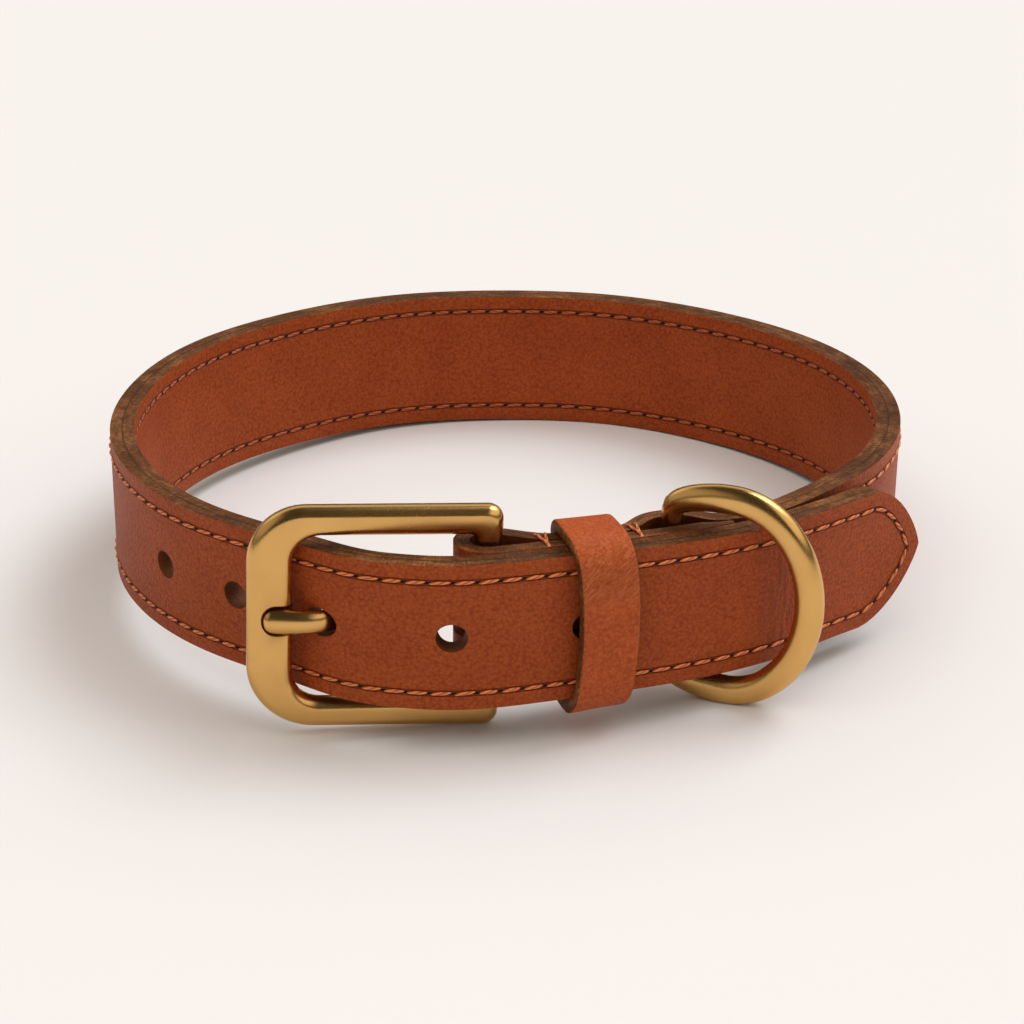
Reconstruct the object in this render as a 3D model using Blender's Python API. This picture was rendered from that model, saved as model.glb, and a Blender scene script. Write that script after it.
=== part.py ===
"""A leather pet collar with a brass buckle and a D-ring, closed and standing on its edge.

Blender 4.5 script, in metres, +Z up. The collar is drawn level, with the strap's lower edge at
z = 0 and the buckle towards -Y. One empty then tips it onto the three places that it stands on:
the buckle, the D-ring and the strap's back edge.
"""
import math

import bmesh
import bpy
import numpy as np
from mathutils import Matrix, Vector

MM = 0.001

# Strap
LOOP_WIDTH = 136.2 * MM
LOOP_DEPTH = 136.7 * MM
STRAP_HEIGHT = 25.0 * MM
STRAP_THICKNESS = 4.2 * MM
EDGE_ROUND = 0.6 * MM
TAIL_LENGTH = 81.0 * MM
TIP_LENGTH = 13.0 * MM
TIP_DROOP = 0.6 * MM
TIP_DROOP_RUN = 30.0 * MM
TIP_FULLNESS = 1.75
TIP_BLUNTNESS = 1.3
HOLE_DIAMETER = 5.0 * MM
HOLE_SIDES = 16

# Lengths of the strap's flat panels, and steps in which its course is followed
BODY_PANEL = 5.0 * MM
TAIL_PANEL = 3.5 * MM
FOLD_PANEL = 2.8 * MM
GUIDE_STEP = 5.0 * MM
BACK_PANEL = 2.0 * MM
READING_STEP = 0.25 * MM
SEARCH_STEP = 0.1 * MM

# Where the holes are, measured along the strap from the heel bar towards the tip.
HOLE_PLACES = (-64.9 * MM, -46.7 * MM, -7.2 * MM, 14.1 * MM)

# Turned-back end of the strap, which holds the buckle, the keeper and the D-ring
FOLD_THICKNESS = 2.6 * MM
FOLD_END_THICKNESS = 1.0 * MM
FOLD_LENGTH = 41.0 * MM
FOLD_TAPER = 7.0 * MM
LAYER_GAP = 0.35 * MM
HEEL_SLACK = 0.6 * MM
PRONG_SLOT_HEIGHT = 6.4 * MM
PRONG_SLOT_RUN = 5.8 * MM

# Buckle frame
FRAME_LENGTH = 40.4 * MM
FRAME_HEIGHT = 38.4 * MM
FRAME_THICKNESS = 3.8 * MM
FRONT_BAR_WIDTH = 7.3 * MM
ARM_WIDTH = 4.9 * MM
HEEL_BAR_WIDTH = 4.4 * MM
FRONT_CORNER = 9.4 * MM
LOWER_CORNER = 11.0 * MM
WINDOW_CORNER = 4.5 * MM
HEEL_CORNER = 2.4 * MM
HEEL_WINDOW_CORNER = 1.0 * MM
FRAME_BEVEL = 1.4 * MM
FRAME_DROP = 0.5 * MM
BAR_CLEARANCE = 1.2 * MM
FRAME_ROLL = math.radians(1.7)
NOTCH_LENGTH = 4.9 * MM
NOTCH_HEIGHT = 5.0 * MM
NOTCH_CORNER = 2.3 * MM
NOTCH_DEPTH = 1.7 * MM
ROUNDED_FROM = math.radians(50.0)

# Prong
PRONG_WIDTH = 4.2 * MM
PRONG_THICKNESS = 2.5 * MM
PRONG_EYE_WIDTH = 4.8 * MM
PRONG_EYE_WALL = 1.5 * MM
PRONG_CLEARANCE = 0.3 * MM

# Keeper
KEEPER_PLACE = 16.7 * MM
KEEPER_WIDTH = 9.7 * MM
KEEPER_THICKNESS = 2.4 * MM
KEEPER_CLEARANCE = 0.4 * MM
KEEPER_HEADROOM = 0.6 * MM
KEEPER_CORNER = 5.6 * MM
KEEPER_INNER_CORNER = 2.2 * MM

# D-ring
RING_PLACE = 31.8 * MM
RING_REACH = 26.0 * MM
RING_HEIGHT = 38.9 * MM
RING_CROWN = 14.5 * MM
RING_CORNER = 3.4 * MM
RING_WIDTH = 4.8 * MM
RING_THICKNESS = 3.6 * MM
RING_BAR_WIDTH = 3.6 * MM
RING_LIFT = 1.1 * MM
RING_CLEARANCE = 0.4 * MM
RING_TURN = math.radians(20.0)

# The course of the strap from the right side round the back and the left side to its tip, as
# shares of half the loop's width and of its depth, with the outward lean of its top in degrees.
COURSE = (
    # across, back, lean
    (0.909, 0.338, 4.0),
    (0.955, 0.390, 3.0),
    (1.000, 0.490, 1.0),
    (0.974, 0.644, 0.0),
    (0.850, 0.777, 0.0),
    (0.574, 0.911, 0.0),
    (0.282, 0.982, 0.0),
    (-0.023, 1.000, 0.0),
    (-0.324, 0.979, 0.0),
    (-0.615, 0.900, 0.0),
    (-0.848, 0.779, 0.0),
    (-0.979, 0.621, 0.0),
    (-1.000, 0.433, 0.5),
    (-0.951, 0.335, 1.5),
    (-0.824, 0.217, 3.0),
    (-0.711, 0.155, 3.5),
    (-0.615, 0.116, 3.5),
    (-0.526, 0.083, 3.0),
    (-0.436, 0.049, 2.0),
    (-0.338, 0.019, 2.0),
    (-0.248, 0.006, 2.0),
    (-0.135, 0.000, 2.0),
    (-0.045, 0.005, 2.0),
    (0.086, 0.022, 2.5),
    (0.317, 0.057, 4.0),
    (0.468, 0.086, 5.0),
    (0.668, 0.143, 6.0),
    (0.809, 0.204, 7.0),
    (0.917, 0.254, 6.0),
    (1.025, 0.303, 3.0),
)

# How far the strap behind the tail draws away from it, in strap thicknesses, at distances from
# the heel bar that are shares of the tail's length.
PARTING = (
    # along, apart
    (0.60, 0.00),
    (0.68, 0.10),
    (0.76, 0.26),
    (0.84, 0.44),
)

# The prong's shank from its eye to its end: how far along, as a share of the way to the front
# bar; how far out, as a share of its height in the notch; and its fullness.
PRONG_COURSE = (
    # along, out, fullness
    (0.11, 0.00, 0.62),
    (0.30, -0.65, 0.70),
    (0.58, -0.65, 0.78),
    (0.67, -0.60, 0.74),
    (0.73, -0.40, 0.68),
    (0.78, 0.20, 0.66),
    (0.83, 0.95, 0.70),
    (0.89, 1.20, 0.88),
    (0.96, 1.20, 0.98),
    (1.04, 1.08, 1.00),
    (1.10, 1.00, 0.96),
)
PRONG_END_FULLNESS = 0.45

SMOOTH_BELOW = math.radians(40.0)

COLOURS = {
    "strap": ((0.305, 0.072, 0.022), 0.55, 0.0),
    "keeper": ((0.325, 0.080, 0.026), 0.50, 0.0),
    "buckle_frame": ((0.620, 0.400, 0.150), 0.28, 1.0),
    "prong": ((0.620, 0.400, 0.150), 0.26, 1.0),
    "d_ring": ((0.620, 0.400, 0.150), 0.24, 1.0),
}


class Course:
    """A smooth line through chosen points, read by the distance run along it."""

    def __init__(self, points):
        """Take rows of x, y and how far the top leans out along X and Y for each unit of height,
        and run a natural cubic spline through them."""
        rows = np.array(points, dtype=float)
        chords = np.hypot(*np.diff(rows[:, :2], axis=0).T)
        knots = np.concatenate(([0.0], np.cumsum(chords)))
        samples = np.linspace(0.0, knots[-1], round(knots[-1] / READING_STEP) + 1)
        self.rows = np.column_stack([natural_spline(knots, column, samples) for column in rows.T])
        runs = np.hypot(*np.diff(self.rows[:, :2], axis=0).T)
        self.distances = np.concatenate(([0.0], np.cumsum(runs)))
        self.length = self.distances[-1]
        self.headings = np.gradient(self.rows[:, :2], self.distances, axis=0)

    def read(self, distance):
        """Give the point, the level direction outward and the lean at a distance along the line."""
        row = [np.interp(distance, self.distances, column) for column in self.rows.T]
        heading = [np.interp(distance, self.distances, column) for column in self.headings.T]
        outside = Vector((heading[1], -heading[0], 0.0)).normalized()
        return Vector((row[0], row[1], 0.0)), outside, Vector((row[2], row[3], 0.0))

    def place(self, distance, outward, height):
        """Give the point that is outward of the line and at a height on the leaning strap."""
        point, outside, lean = self.read(distance)
        swing = lean * (height - STRAP_HEIGHT / 2)
        return point + outside * outward + swing + Vector((0.0, 0.0, height))

    def shifted(self, distance, outward):
        """Give the row of the point that is outward of the line."""
        point, outside, lean = self.read(distance)
        spot = point + outside * outward
        return (spot.x, spot.y, lean.x, lean.y)


def natural_spline(knots, values, samples):
    """Interpolate with the cubic spline whose ends are straight."""
    gaps = np.diff(knots)
    count = len(knots)
    matrix = np.eye(count)
    right = np.zeros(count)
    for i in range(1, count - 1):
        matrix[i, i - 1:i + 2] = (gaps[i - 1], 2 * (gaps[i - 1] + gaps[i]), gaps[i])
        slopes = (values[i + 1] - values[i]) / gaps[i] - (values[i] - values[i - 1]) / gaps[i - 1]
        right[i] = 6 * slopes
    bends = np.linalg.solve(matrix, right)
    index = np.clip(np.searchsorted(knots, samples) - 1, 0, count - 2)
    span = gaps[index]
    before = (knots[index + 1] - samples) / span
    after = 1.0 - before
    curve = (before ** 3 - before) * bends[index] + (after ** 3 - after) * bends[index + 1]
    return before * values[index] + after * values[index + 1] + curve * span ** 2 / 6


def tail_course():
    """Lay out the strap from its right side round to the tip of the tail."""
    half_width = (LOOP_WIDTH - STRAP_THICKNESS) / 2
    depth = LOOP_DEPTH - STRAP_THICKNESS
    slopes = [math.tan(math.radians(lean)) for _, _, lean in COURSE]
    rows = [(across * half_width, back * depth - depth / 2) for across, back, _ in COURSE]
    ahead = headings_of(rows)
    return Course([(*row, slope * heading.y, -slope * heading.x)
                   for row, slope, heading in zip(rows, slopes, ahead)])


def heel_pocket():
    """Space between the fold's two layers at the heel bar."""
    return HEEL_BAR_WIDTH + 2 * HEEL_SLACK


def front_layer_offset(thickness):
    """From the tail's middle to the middle of the fold's front layer."""
    return STRAP_THICKNESS / 2 + LAYER_GAP + thickness / 2


def heel_offset():
    """From the tail's middle to the middle of the heel bar."""
    return front_layer_offset(FOLD_THICKNESS) + (FOLD_THICKNESS + heel_pocket()) / 2


def ring_offset():
    """From the tail's middle to the middle of the D-ring's bar."""
    pocket = RING_BAR_WIDTH + 2 * RING_CLEARANCE
    return front_layer_offset(FOLD_THICKNESS) + (FOLD_THICKNESS + pocket) / 2


def eased(along, stops, values):
    """Go from each value to the next with a smooth start and end."""
    place = float(np.interp(along, stops, range(len(stops))))
    index = min(int(place), len(stops) - 2)
    share = place - index
    return values[index] + (values[index + 1] - values[index]) * share * share * (3 - 2 * share)


def front_thickness(along):
    """Thickness of the fold's front layer, thinned towards its end."""
    return eased(along, (FOLD_LENGTH - FOLD_TAPER, FOLD_LENGTH), (FOLD_THICKNESS, FOLD_END_THICKNESS))


def pocket_depth(along):
    """Space between the fold's two layers, at a distance along the tail from the heel bar."""
    ring_pocket = RING_BAR_WIDTH + 2 * RING_CLEARANCE
    keeper_half = KEEPER_WIDTH / 2 + KEEPER_CLEARANCE
    ring_half = RING_BAR_WIDTH / 2
    stops = (0.0, KEEPER_PLACE - keeper_half, KEEPER_PLACE + keeper_half,
             RING_PLACE - ring_half, RING_PLACE + ring_half, FOLD_LENGTH)
    depths = (heel_pocket(), LAYER_GAP, LAYER_GAP, ring_pocket, ring_pocket, LAYER_GAP)
    return eased(along, stops, depths)


def back_thickness(along):
    """Thickness of the strap behind the tail, where the lining ends and the fold begins."""
    stops = (RING_PLACE + RING_BAR_WIDTH, FOLD_LENGTH + FOLD_TAPER)
    return eased(along, stops, (FOLD_THICKNESS, STRAP_THICKNESS))


def back_layer_offset(along):
    """From the tail's middle to the middle of the strap behind it."""
    thickness = back_thickness(along)
    if along <= FOLD_LENGTH:
        layers = front_thickness(along) + pocket_depth(along)
    else:
        past_end = (FOLD_LENGTH, FOLD_LENGTH + FOLD_TAPER)
        shares = [row[0] * TAIL_LENGTH for row in PARTING]
        layers = eased(along, past_end, (FOLD_END_THICKNESS + LAYER_GAP, 0.0))
        layers += np.interp(along, shares, [row[1] * STRAP_THICKNESS for row in PARTING])
    return STRAP_THICKNESS / 2 + LAYER_GAP + layers + thickness / 2


def strap_sections(tail):
    """List the strap's sections from the end of the fold to the tip.

    A section is a row of the course, with the strap's thickness, half height and droop there.
    """
    heel = tail.length - TAIL_LENGTH
    half_height = STRAP_HEIGHT / 2
    rows = []
    thicknesses = []
    front_steps = np.linspace(FOLD_LENGTH, 0.0, round(FOLD_LENGTH / FOLD_PANEL) + 1)
    for along in front_steps:
        thickness = front_thickness(along)
        rows.append(tail.shifted(heel + along, -front_layer_offset(thickness)))
        thicknesses.append(thickness)
    for row in bend_rows(tail):
        rows.append(row)
        thicknesses.append(FOLD_THICKNESS)
    parting_end = PARTING[-1][0] * TAIL_LENGTH
    back_steps = np.linspace(0.0, parting_end, round(parting_end / BACK_PANEL) + 1)
    for along in back_steps:
        rows.append(tail.shifted(heel + along, -back_layer_offset(along)))
        thicknesses.append(back_thickness(along))
    first = len(rows)
    guides = np.linspace(0, len(tail.rows) - 1, round(tail.length / GUIDE_STEP)).astype(int)
    whole = Course(rows + [tuple(row) for row in tail.rows[guides]])
    sections = [(row, thickness, half_height, 0.0) for row, thickness in zip(rows, thicknesses)]
    start = joined_distance(whole, rows[first - 1])
    body_steps = np.arange(start + BODY_PANEL, whole.length - TAIL_LENGTH, BODY_PANEL)
    tail_steps = np.arange(body_steps[-1] + TAIL_PANEL, whole.length - TIP_LENGTH, TAIL_PANEL)
    for distance in np.concatenate((body_steps, tail_steps)):
        row = whole.shifted(distance, 0.0)
        sections.append((row, STRAP_THICKNESS, half_height, tip_droop(whole.length - distance)))
    for turn in np.linspace(0.0, math.pi / 2, 12)[:-1]:
        short = TIP_LENGTH * (1.0 - math.sin(turn))
        share = (1.0 - math.sin(turn) ** TIP_FULLNESS) ** (1.0 / TIP_BLUNTNESS)
        row = whole.shifted(whole.length - short, 0.0)
        sections.append((row, STRAP_THICKNESS, half_height * share, tip_droop(short)))
    return sections


def tip_droop(short):
    """How far the free end hangs down, at a distance short of the tip."""
    return eased(short, (0.0, TIP_DROOP_RUN), (TIP_DROOP, 0.0))


def bend_rows(tail):
    """Rows of the half turn that the fold makes round the heel bar."""
    centre, outside, lean = tail.read(tail.length - TAIL_LENGTH)
    middle = centre - outside * heel_offset()
    ahead = Vector((-outside.y, outside.x, 0.0))
    radius = (heel_pocket() + FOLD_THICKNESS) / 2
    rows = []
    for turn in np.linspace(0.0, math.pi, 9)[1:-1]:
        spot = middle + outside * radius * math.cos(turn) - ahead * radius * math.sin(turn)
        rows.append((spot.x, spot.y, lean.x, lean.y))
    return rows


def joined_distance(course, row):
    """Distance along a course of the sample nearest to a row's point."""
    gaps = np.hypot(course.rows[:, 0] - row[0], course.rows[:, 1] - row[1])
    return course.distances[int(np.argmin(gaps))]


def section_corners(row, ahead, thickness, half_height, droop=0.0):
    """Corners of one strap section, a leaning rectangle with its long edges taken off."""
    outside = Vector((ahead.y, -ahead.x, 0.0))
    lean = Vector((row[2], row[3], 1.0))
    cut = min(EDGE_ROUND, thickness / 4, half_height / 2)
    side = thickness / 2
    shape = ((side, cut - half_height), (side, half_height - cut), (side - cut, half_height),
             (cut - side, half_height), (-side, half_height - cut), (-side, cut - half_height),
             (cut - side, -half_height), (side - cut, -half_height))
    base = Vector((row[0], row[1], STRAP_HEIGHT / 2 - droop))
    return [base + outside * across + lean * up for across, up in shape]


def headings_of(rows):
    """Unit heading at each of a list of rows, from its neighbours."""
    spots = [Vector((row[0], row[1], 0.0)) for row in rows]
    last = len(spots) - 1
    return [(spots[min(i + 1, last)] - spots[max(i - 1, 0)]).normalized() for i in range(last + 1)]


def skin(rings, closed):
    """Join rings of points into one solid, with flat ends or as a closed hoop."""
    mesh = bmesh.new()
    loops = [[mesh.verts.new(point) for point in ring] for ring in rings]
    count = len(loops)
    for i in range(count if closed else count - 1):
        here = loops[i]
        following = loops[(i + 1) % count]
        for j in range(len(here)):
            k = (j + 1) % len(here)
            mesh.faces.new((here[j], here[k], following[k], following[j]))
    if not closed:
        mesh.faces.new(loops[0])
        mesh.faces.new(loops[-1])
    bmesh.ops.recalc_face_normals(mesh, faces=mesh.faces)
    return mesh


def add_object(name, mesh, parent, matrix=None):
    """Put a mesh into the scene as an object with the material of its name."""
    data = bpy.data.meshes.new(name)
    mesh.to_mesh(data)
    mesh.free()
    thing = bpy.data.objects.new(name, data)
    bpy.context.scene.collection.objects.link(thing)
    thing.parent = parent
    if matrix is not None:
        thing.matrix_basis = matrix
    if name in COLOURS:
        data.materials.append(plain_material(name))
    return thing


def plain_material(name):
    """Make the plain material of one piece."""
    colour, roughness, metallic = COLOURS[name]
    material = bpy.data.materials.new(name)
    material.use_nodes = True
    shader = material.node_tree.nodes["Principled BSDF"]
    shader.inputs["Base Color"].default_value = (*colour, 1.0)
    shader.inputs["Roughness"].default_value = roughness
    shader.inputs["Metallic"].default_value = metallic
    return material


def boolean(thing, tool, operation):
    """Combine an object with a tool that is kept out of the model."""
    tool.hide_render = True
    tool.display_type = "WIRE"
    modifier = thing.modifiers.new(tool.name, "BOOLEAN")
    modifier.operation = operation
    modifier.object = tool
    bpy.context.view_layer.update()
    graph = bpy.context.evaluated_depsgraph_get()
    shape = bpy.data.meshes.new_from_object(thing.evaluated_get(graph))
    thing.modifiers.remove(modifier)
    old = thing.data
    thing.data = shape
    shape.name = old.name + "_cut"
    bpy.data.objects.remove(tool, do_unlink=True)


def make_strap(tail, parent, buckle):
    """Sweep the strap, punch its holes and cut the slot in which the prong sits."""
    sections = strap_sections(tail)
    rows = [section[0] for section in sections]
    rings = [section_corners(row, ahead, *shape)
             for (row, *shape), ahead in zip(sections, headings_of(rows))]
    strap = add_object("strap", skin(rings, closed=False), parent)
    heel = tail.length - TAIL_LENGTH
    for number, place in enumerate(HOLE_PLACES):
        boolean(strap, hole_punch(tail, heel + place, f"punch_{number}", parent), "DIFFERENCE")
    path, _ = prong_path()
    passage = tube(path, [(HOLE_DIAMETER / 2, HOLE_DIAMETER / 2)] * len(path), HOLE_SIDES)
    boolean(strap, add_object("prong_passage", passage, parent, buckle), "DIFFERENCE")
    boolean(strap, slot_punch(tail, parent), "DIFFERENCE")
    return strap


def hole_punch(tail, distance, name, parent):
    """A round punch through the strap at a distance along it."""
    across = STRAP_THICKNESS
    inside = tail.place(distance, -across, STRAP_HEIGHT / 2)
    outside = tail.place(distance, across, STRAP_HEIGHT / 2)
    mesh = bmesh.new()
    bmesh.ops.create_cone(mesh, cap_ends=True, segments=HOLE_SIDES, radius1=HOLE_DIAMETER / 2,
                          radius2=HOLE_DIAMETER / 2, depth=(outside - inside).length)
    turn = (outside - inside).to_track_quat("Z", "Y").to_matrix().to_4x4()
    return add_object(name, mesh, parent, Matrix.Translation((inside + outside) / 2) @ turn)


def slot_punch(tail, parent):
    """A punch along the bend of the fold only, for the slot round the prong's eye."""
    heel = tail.length - TAIL_LENGTH
    spots = [tail.shifted(heel + PRONG_SLOT_RUN * share, -front_layer_offset(FOLD_THICKNESS))
             for share in (1.0, 0.5, 0.0)]
    spots += bend_rows(tail)
    spots += [tail.shifted(heel + PRONG_SLOT_RUN * share, -back_layer_offset(PRONG_SLOT_RUN * share))
              for share in (0.0, 0.5, 1.0)]
    thickness = FOLD_THICKNESS + LAYER_GAP
    rings = [section_corners(row, heading, thickness, PRONG_SLOT_HEIGHT / 2, FRAME_DROP)
             for row, heading in zip(spots, headings_of(spots))]
    return add_object("slot_punch", skin(rings, closed=False), parent)


def buckle_matrix(tail):
    """Place the buckle: its origin on the heel bar, +X to the front bar and +Z outward."""
    heel = tail.length - TAIL_LENGTH
    centre, outside, lean = tail.read(heel)
    middle = centre - outside * heel_offset()
    reach = FRAME_LENGTH - (HEEL_BAR_WIDTH + FRONT_BAR_WIDTH) / 2
    toward = Vector((-1.0, 0.0, 0.0))
    for distance in np.arange(heel, heel - 2 * FRAME_LENGTH, -SEARCH_STEP):
        point, normal, _ = tail.read(distance)
        tilt = math.asin(min(1.0, abs(normal.dot(toward))))
        flat_half = FRONT_BAR_WIDTH / 2 - FRAME_BEVEL
        stand = flat_half * math.sin(tilt) + FRAME_THICKNESS / 2 * math.cos(tilt)
        bar = point + normal * (stand + STRAP_THICKNESS / 2 + BAR_CLEARANCE)
        toward = (bar - middle).normalized()
        if (bar - middle).length >= reach:
            break
    down = Vector((0.0, 0.0, -1.0))
    face = toward.cross(down)
    turn = Matrix((toward, down, face)).transposed().to_4x4()
    base = Matrix.Translation(middle - down * (STRAP_HEIGHT / 2 - FRAME_DROP)) @ turn
    leaning = Matrix.Rotation(-math.atan(lean.length), 4, "X")
    return base @ leaning @ Matrix.Rotation(-FRAME_ROLL, 4, "Z")


def rounded_corners(left, right, low, high, radii, steps):
    """Points of a rectangle with round corners, from the low right corner anticlockwise."""
    centres = ((right - radii[0], low + radii[0]), (right - radii[1], high - radii[1]),
               (left + radii[2], high - radii[2]), (left + radii[3], low + radii[3]))
    points = []
    for corner, (x, y) in enumerate(centres):
        for step in range(steps + 1):
            turn = math.pi / 2 * (corner - 1 + step / steps)
            points.append((x + radii[corner] * math.cos(turn), y + radii[corner] * math.sin(turn)))
    return points


def flat_hoop(outer, inner, low, high):
    """A flat hoop between two outlines of as many points, from low to high."""
    rings = [[Vector((*o, low)), Vector((*o, high)), Vector((*i, high)), Vector((*i, low))]
             for o, i in zip(outer, inner)]
    return skin(rings, closed=True)


def soften(mesh, width, segments):
    """Round the sharp edges of a solid."""
    edges = [edge for edge in mesh.edges if edge.calc_face_angle(0.0) > ROUNDED_FROM]
    bmesh.ops.bevel(mesh, geom=edges, offset=width, segments=segments, profile=0.5,
                    affect="EDGES", clamp_overlap=True)


def make_buckle_frame(parent, buckle):
    """Cast frame: the front bar with the prong's notch, two arms and the heel bar."""
    back = -HEEL_BAR_WIDTH / 2
    front = back + FRAME_LENGTH
    half = FRAME_HEIGHT / 2
    outer = rounded_corners(back, front, -half, half,
                            (FRONT_CORNER, LOWER_CORNER, HEEL_CORNER, HEEL_CORNER), 5)
    inner = rounded_corners(back + HEEL_BAR_WIDTH, front - FRONT_BAR_WIDTH, ARM_WIDTH - half,
                            half - ARM_WIDTH,
                            (WINDOW_CORNER, WINDOW_CORNER, HEEL_WINDOW_CORNER, HEEL_WINDOW_CORNER), 5)
    mesh = flat_hoop(outer, inner, -FRAME_THICKNESS / 2, FRAME_THICKNESS / 2)
    soften(mesh, FRAME_BEVEL, 2)
    frame = add_object("buckle_frame", mesh, parent, buckle)
    edge = front - FRONT_BAR_WIDTH
    floor = FRAME_THICKNESS / 2 - NOTCH_DEPTH
    outline = rounded_corners(edge - NOTCH_LENGTH, edge + NOTCH_LENGTH, -NOTCH_HEIGHT / 2,
                              NOTCH_HEIGHT / 2, (NOTCH_CORNER,) * 4, 4)
    rings = [[Vector((x, y, height)) for x, y in outline] for height in (floor, FRAME_THICKNESS)]
    cutter = add_object("notch_cutter", skin(rings, closed=False), parent, buckle)
    boolean(frame, cutter, "DIFFERENCE")
    return frame


def prong_path():
    """Middle line of the prong's shank in the buckle's own axes, with its section radii."""
    edge = FRAME_LENGTH - HEEL_BAR_WIDTH / 2 - FRONT_BAR_WIDTH
    rest = FRAME_THICKNESS / 2 - NOTCH_DEPTH + PRONG_CLEARANCE + PRONG_THICKNESS / 2
    tip = edge + NOTCH_LENGTH - PRONG_CLEARANCE
    rows = [(along * edge, out * rest, full) for along, out, full in PRONG_COURSE]
    rows.append((tip, rest, PRONG_END_FULLNESS))
    path = [Vector((x, 0.0, z)) for x, z, _ in rows]
    radii = [(PRONG_WIDTH / 2 * full, PRONG_THICKNESS / 2 * full) for _, _, full in rows]
    return path, radii


def tube(path, radii, sides):
    """Skin an oval tube along a line in the XZ plane; the radii are along Y and across it."""
    rings = []
    last = len(path) - 1
    for i, (spot, (wide, thick)) in enumerate(zip(path, radii)):
        along = (path[min(i + 1, last)] - path[max(i - 1, 0)]).normalized()
        across = Vector((-along.z, 0.0, along.x))
        turns = [2 * math.pi * (j + 0.5) / sides for j in range(sides)]
        rings.append([spot + Vector((0.0, wide * math.cos(a), 0.0)) + across * thick * math.sin(a)
                      for a in turns])
    return skin(rings, closed=False)


def make_prong(parent, buckle):
    """The prong: an eye that turns on the heel bar and a shank that lies in the notch."""
    inside = HEEL_BAR_WIDTH / 2 + PRONG_CLEARANCE
    outside = inside + PRONG_EYE_WALL
    half = PRONG_EYE_WIDTH / 2
    turns = [2 * math.pi * i / 16 for i in range(16)]
    rings = [[Vector((r * math.cos(a), y, r * math.sin(a)))
              for r, y in ((inside, -half), (outside, -half), (outside, half), (inside, half))]
             for a in turns]
    prong = add_object("prong", skin(rings, closed=True), parent, buckle)
    path, radii = prong_path()
    shank = add_object("shank", tube(path, radii, 12), parent, buckle)
    boolean(prong, shank, "UNION")
    return prong


def make_keeper(tail, parent):
    """The keeper: a leather band round the tail and both layers of the fold."""
    heel = tail.length - TAIL_LENGTH
    outermost = STRAP_THICKNESS / 2 + KEEPER_CLEARANCE + KEEPER_THICKNESS
    fold_face = STRAP_THICKNESS / 2 + 2 * (LAYER_GAP + FOLD_THICKNESS)
    innermost = -(fold_face + KEEPER_CLEARANCE + KEEPER_THICKNESS)
    low = -KEEPER_HEADROOM - KEEPER_THICKNESS
    high = STRAP_HEIGHT + KEEPER_HEADROOM + KEEPER_THICKNESS
    outer = rounded_corners(innermost, outermost, low, high, (KEEPER_CORNER,) * 4, 4)
    wall = KEEPER_THICKNESS
    inner = rounded_corners(innermost + wall, outermost - wall, low + wall, high - wall,
                            (KEEPER_INNER_CORNER,) * 4, 4)
    start = heel + KEEPER_PLACE - KEEPER_WIDTH / 2
    rings = []
    for step in range(4):
        distance = start + KEEPER_WIDTH * step / 3
        rings.append([tail.place(distance, across, up) for across, up in outer])
    for step in range(3, -1, -1):
        distance = start + KEEPER_WIDTH * step / 3
        rings.append([tail.place(distance, across, up) for across, up in inner])
    return add_object("keeper", skin(rings, closed=True), parent)


def ring_matrix(tail):
    """Place the D-ring: its origin on its bar, +X to the crown, turned out from the tail."""
    heel = tail.length - TAIL_LENGTH
    distance = heel + RING_PLACE
    base = tail.place(distance, -ring_offset(), STRAP_HEIGHT / 2)
    high = tail.place(distance, -ring_offset(), STRAP_HEIGHT)
    bar = (high - base).normalized()
    toward = Vector((math.cos(RING_TURN), -math.sin(RING_TURN), 0.0))
    toward = (toward - bar * toward.dot(bar)).normalized()
    face = toward.cross(bar)
    turn = Matrix((toward, bar, face)).transposed().to_4x4()
    return Matrix.Translation(base + bar * RING_LIFT) @ turn


def make_d_ring(parent, matrix):
    """The D-ring: a straight bar in the fold and a flattened bow round the strap."""
    crown = RING_REACH - RING_WIDTH / 2
    half = (RING_HEIGHT - RING_WIDTH) / 2
    shoulder = crown - RING_CROWN
    corner = half - RING_CORNER
    line = [(0.0, corner * (1 - 2 * step / 3), 0.0) for step in range(4)]
    for step in range(1, 7):
        turn = math.pi / 2 * step / 6
        line.append((shoulder * (1 - math.cos(turn)), -corner - RING_CORNER * math.sin(turn), step / 7))
    for step in range(1, 18):
        turn = math.pi * step / 18
        line.append((shoulder + RING_CROWN * math.sin(turn), -half * math.cos(turn), 1.0))
    for step in range(6, 0, -1):
        turn = math.pi / 2 * step / 6
        line.append((shoulder * (1 - math.cos(turn)), corner + RING_CORNER * math.sin(turn), step / 7))
    spots = [Vector((x, y, 0.0)) for x, y, _ in line]
    rings = []
    count = len(line)
    for i, (_, _, share) in enumerate(line):
        along = (spots[(i + 1) % count] - spots[i - 1]).normalized()
        across = Vector((along.y, -along.x, 0.0))
        wide = (RING_BAR_WIDTH + (RING_WIDTH - RING_BAR_WIDTH) * share) / 2
        rings.append([spots[i] + across * wide * math.cos(a)
                      + Vector((0.0, 0.0, RING_THICKNESS / 2 * math.sin(a)))
                      for a in [2 * math.pi * (j + 0.5) / 12 for j in range(12)]])
    return add_object("d_ring", skin(rings, closed=True), parent, matrix)


def lowest_point(thing):
    """The lowest vertex of an object, in world coordinates."""
    return min((thing.matrix_world @ vertex.co for vertex in thing.data.vertices),
               key=lambda point: point.z)


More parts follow.
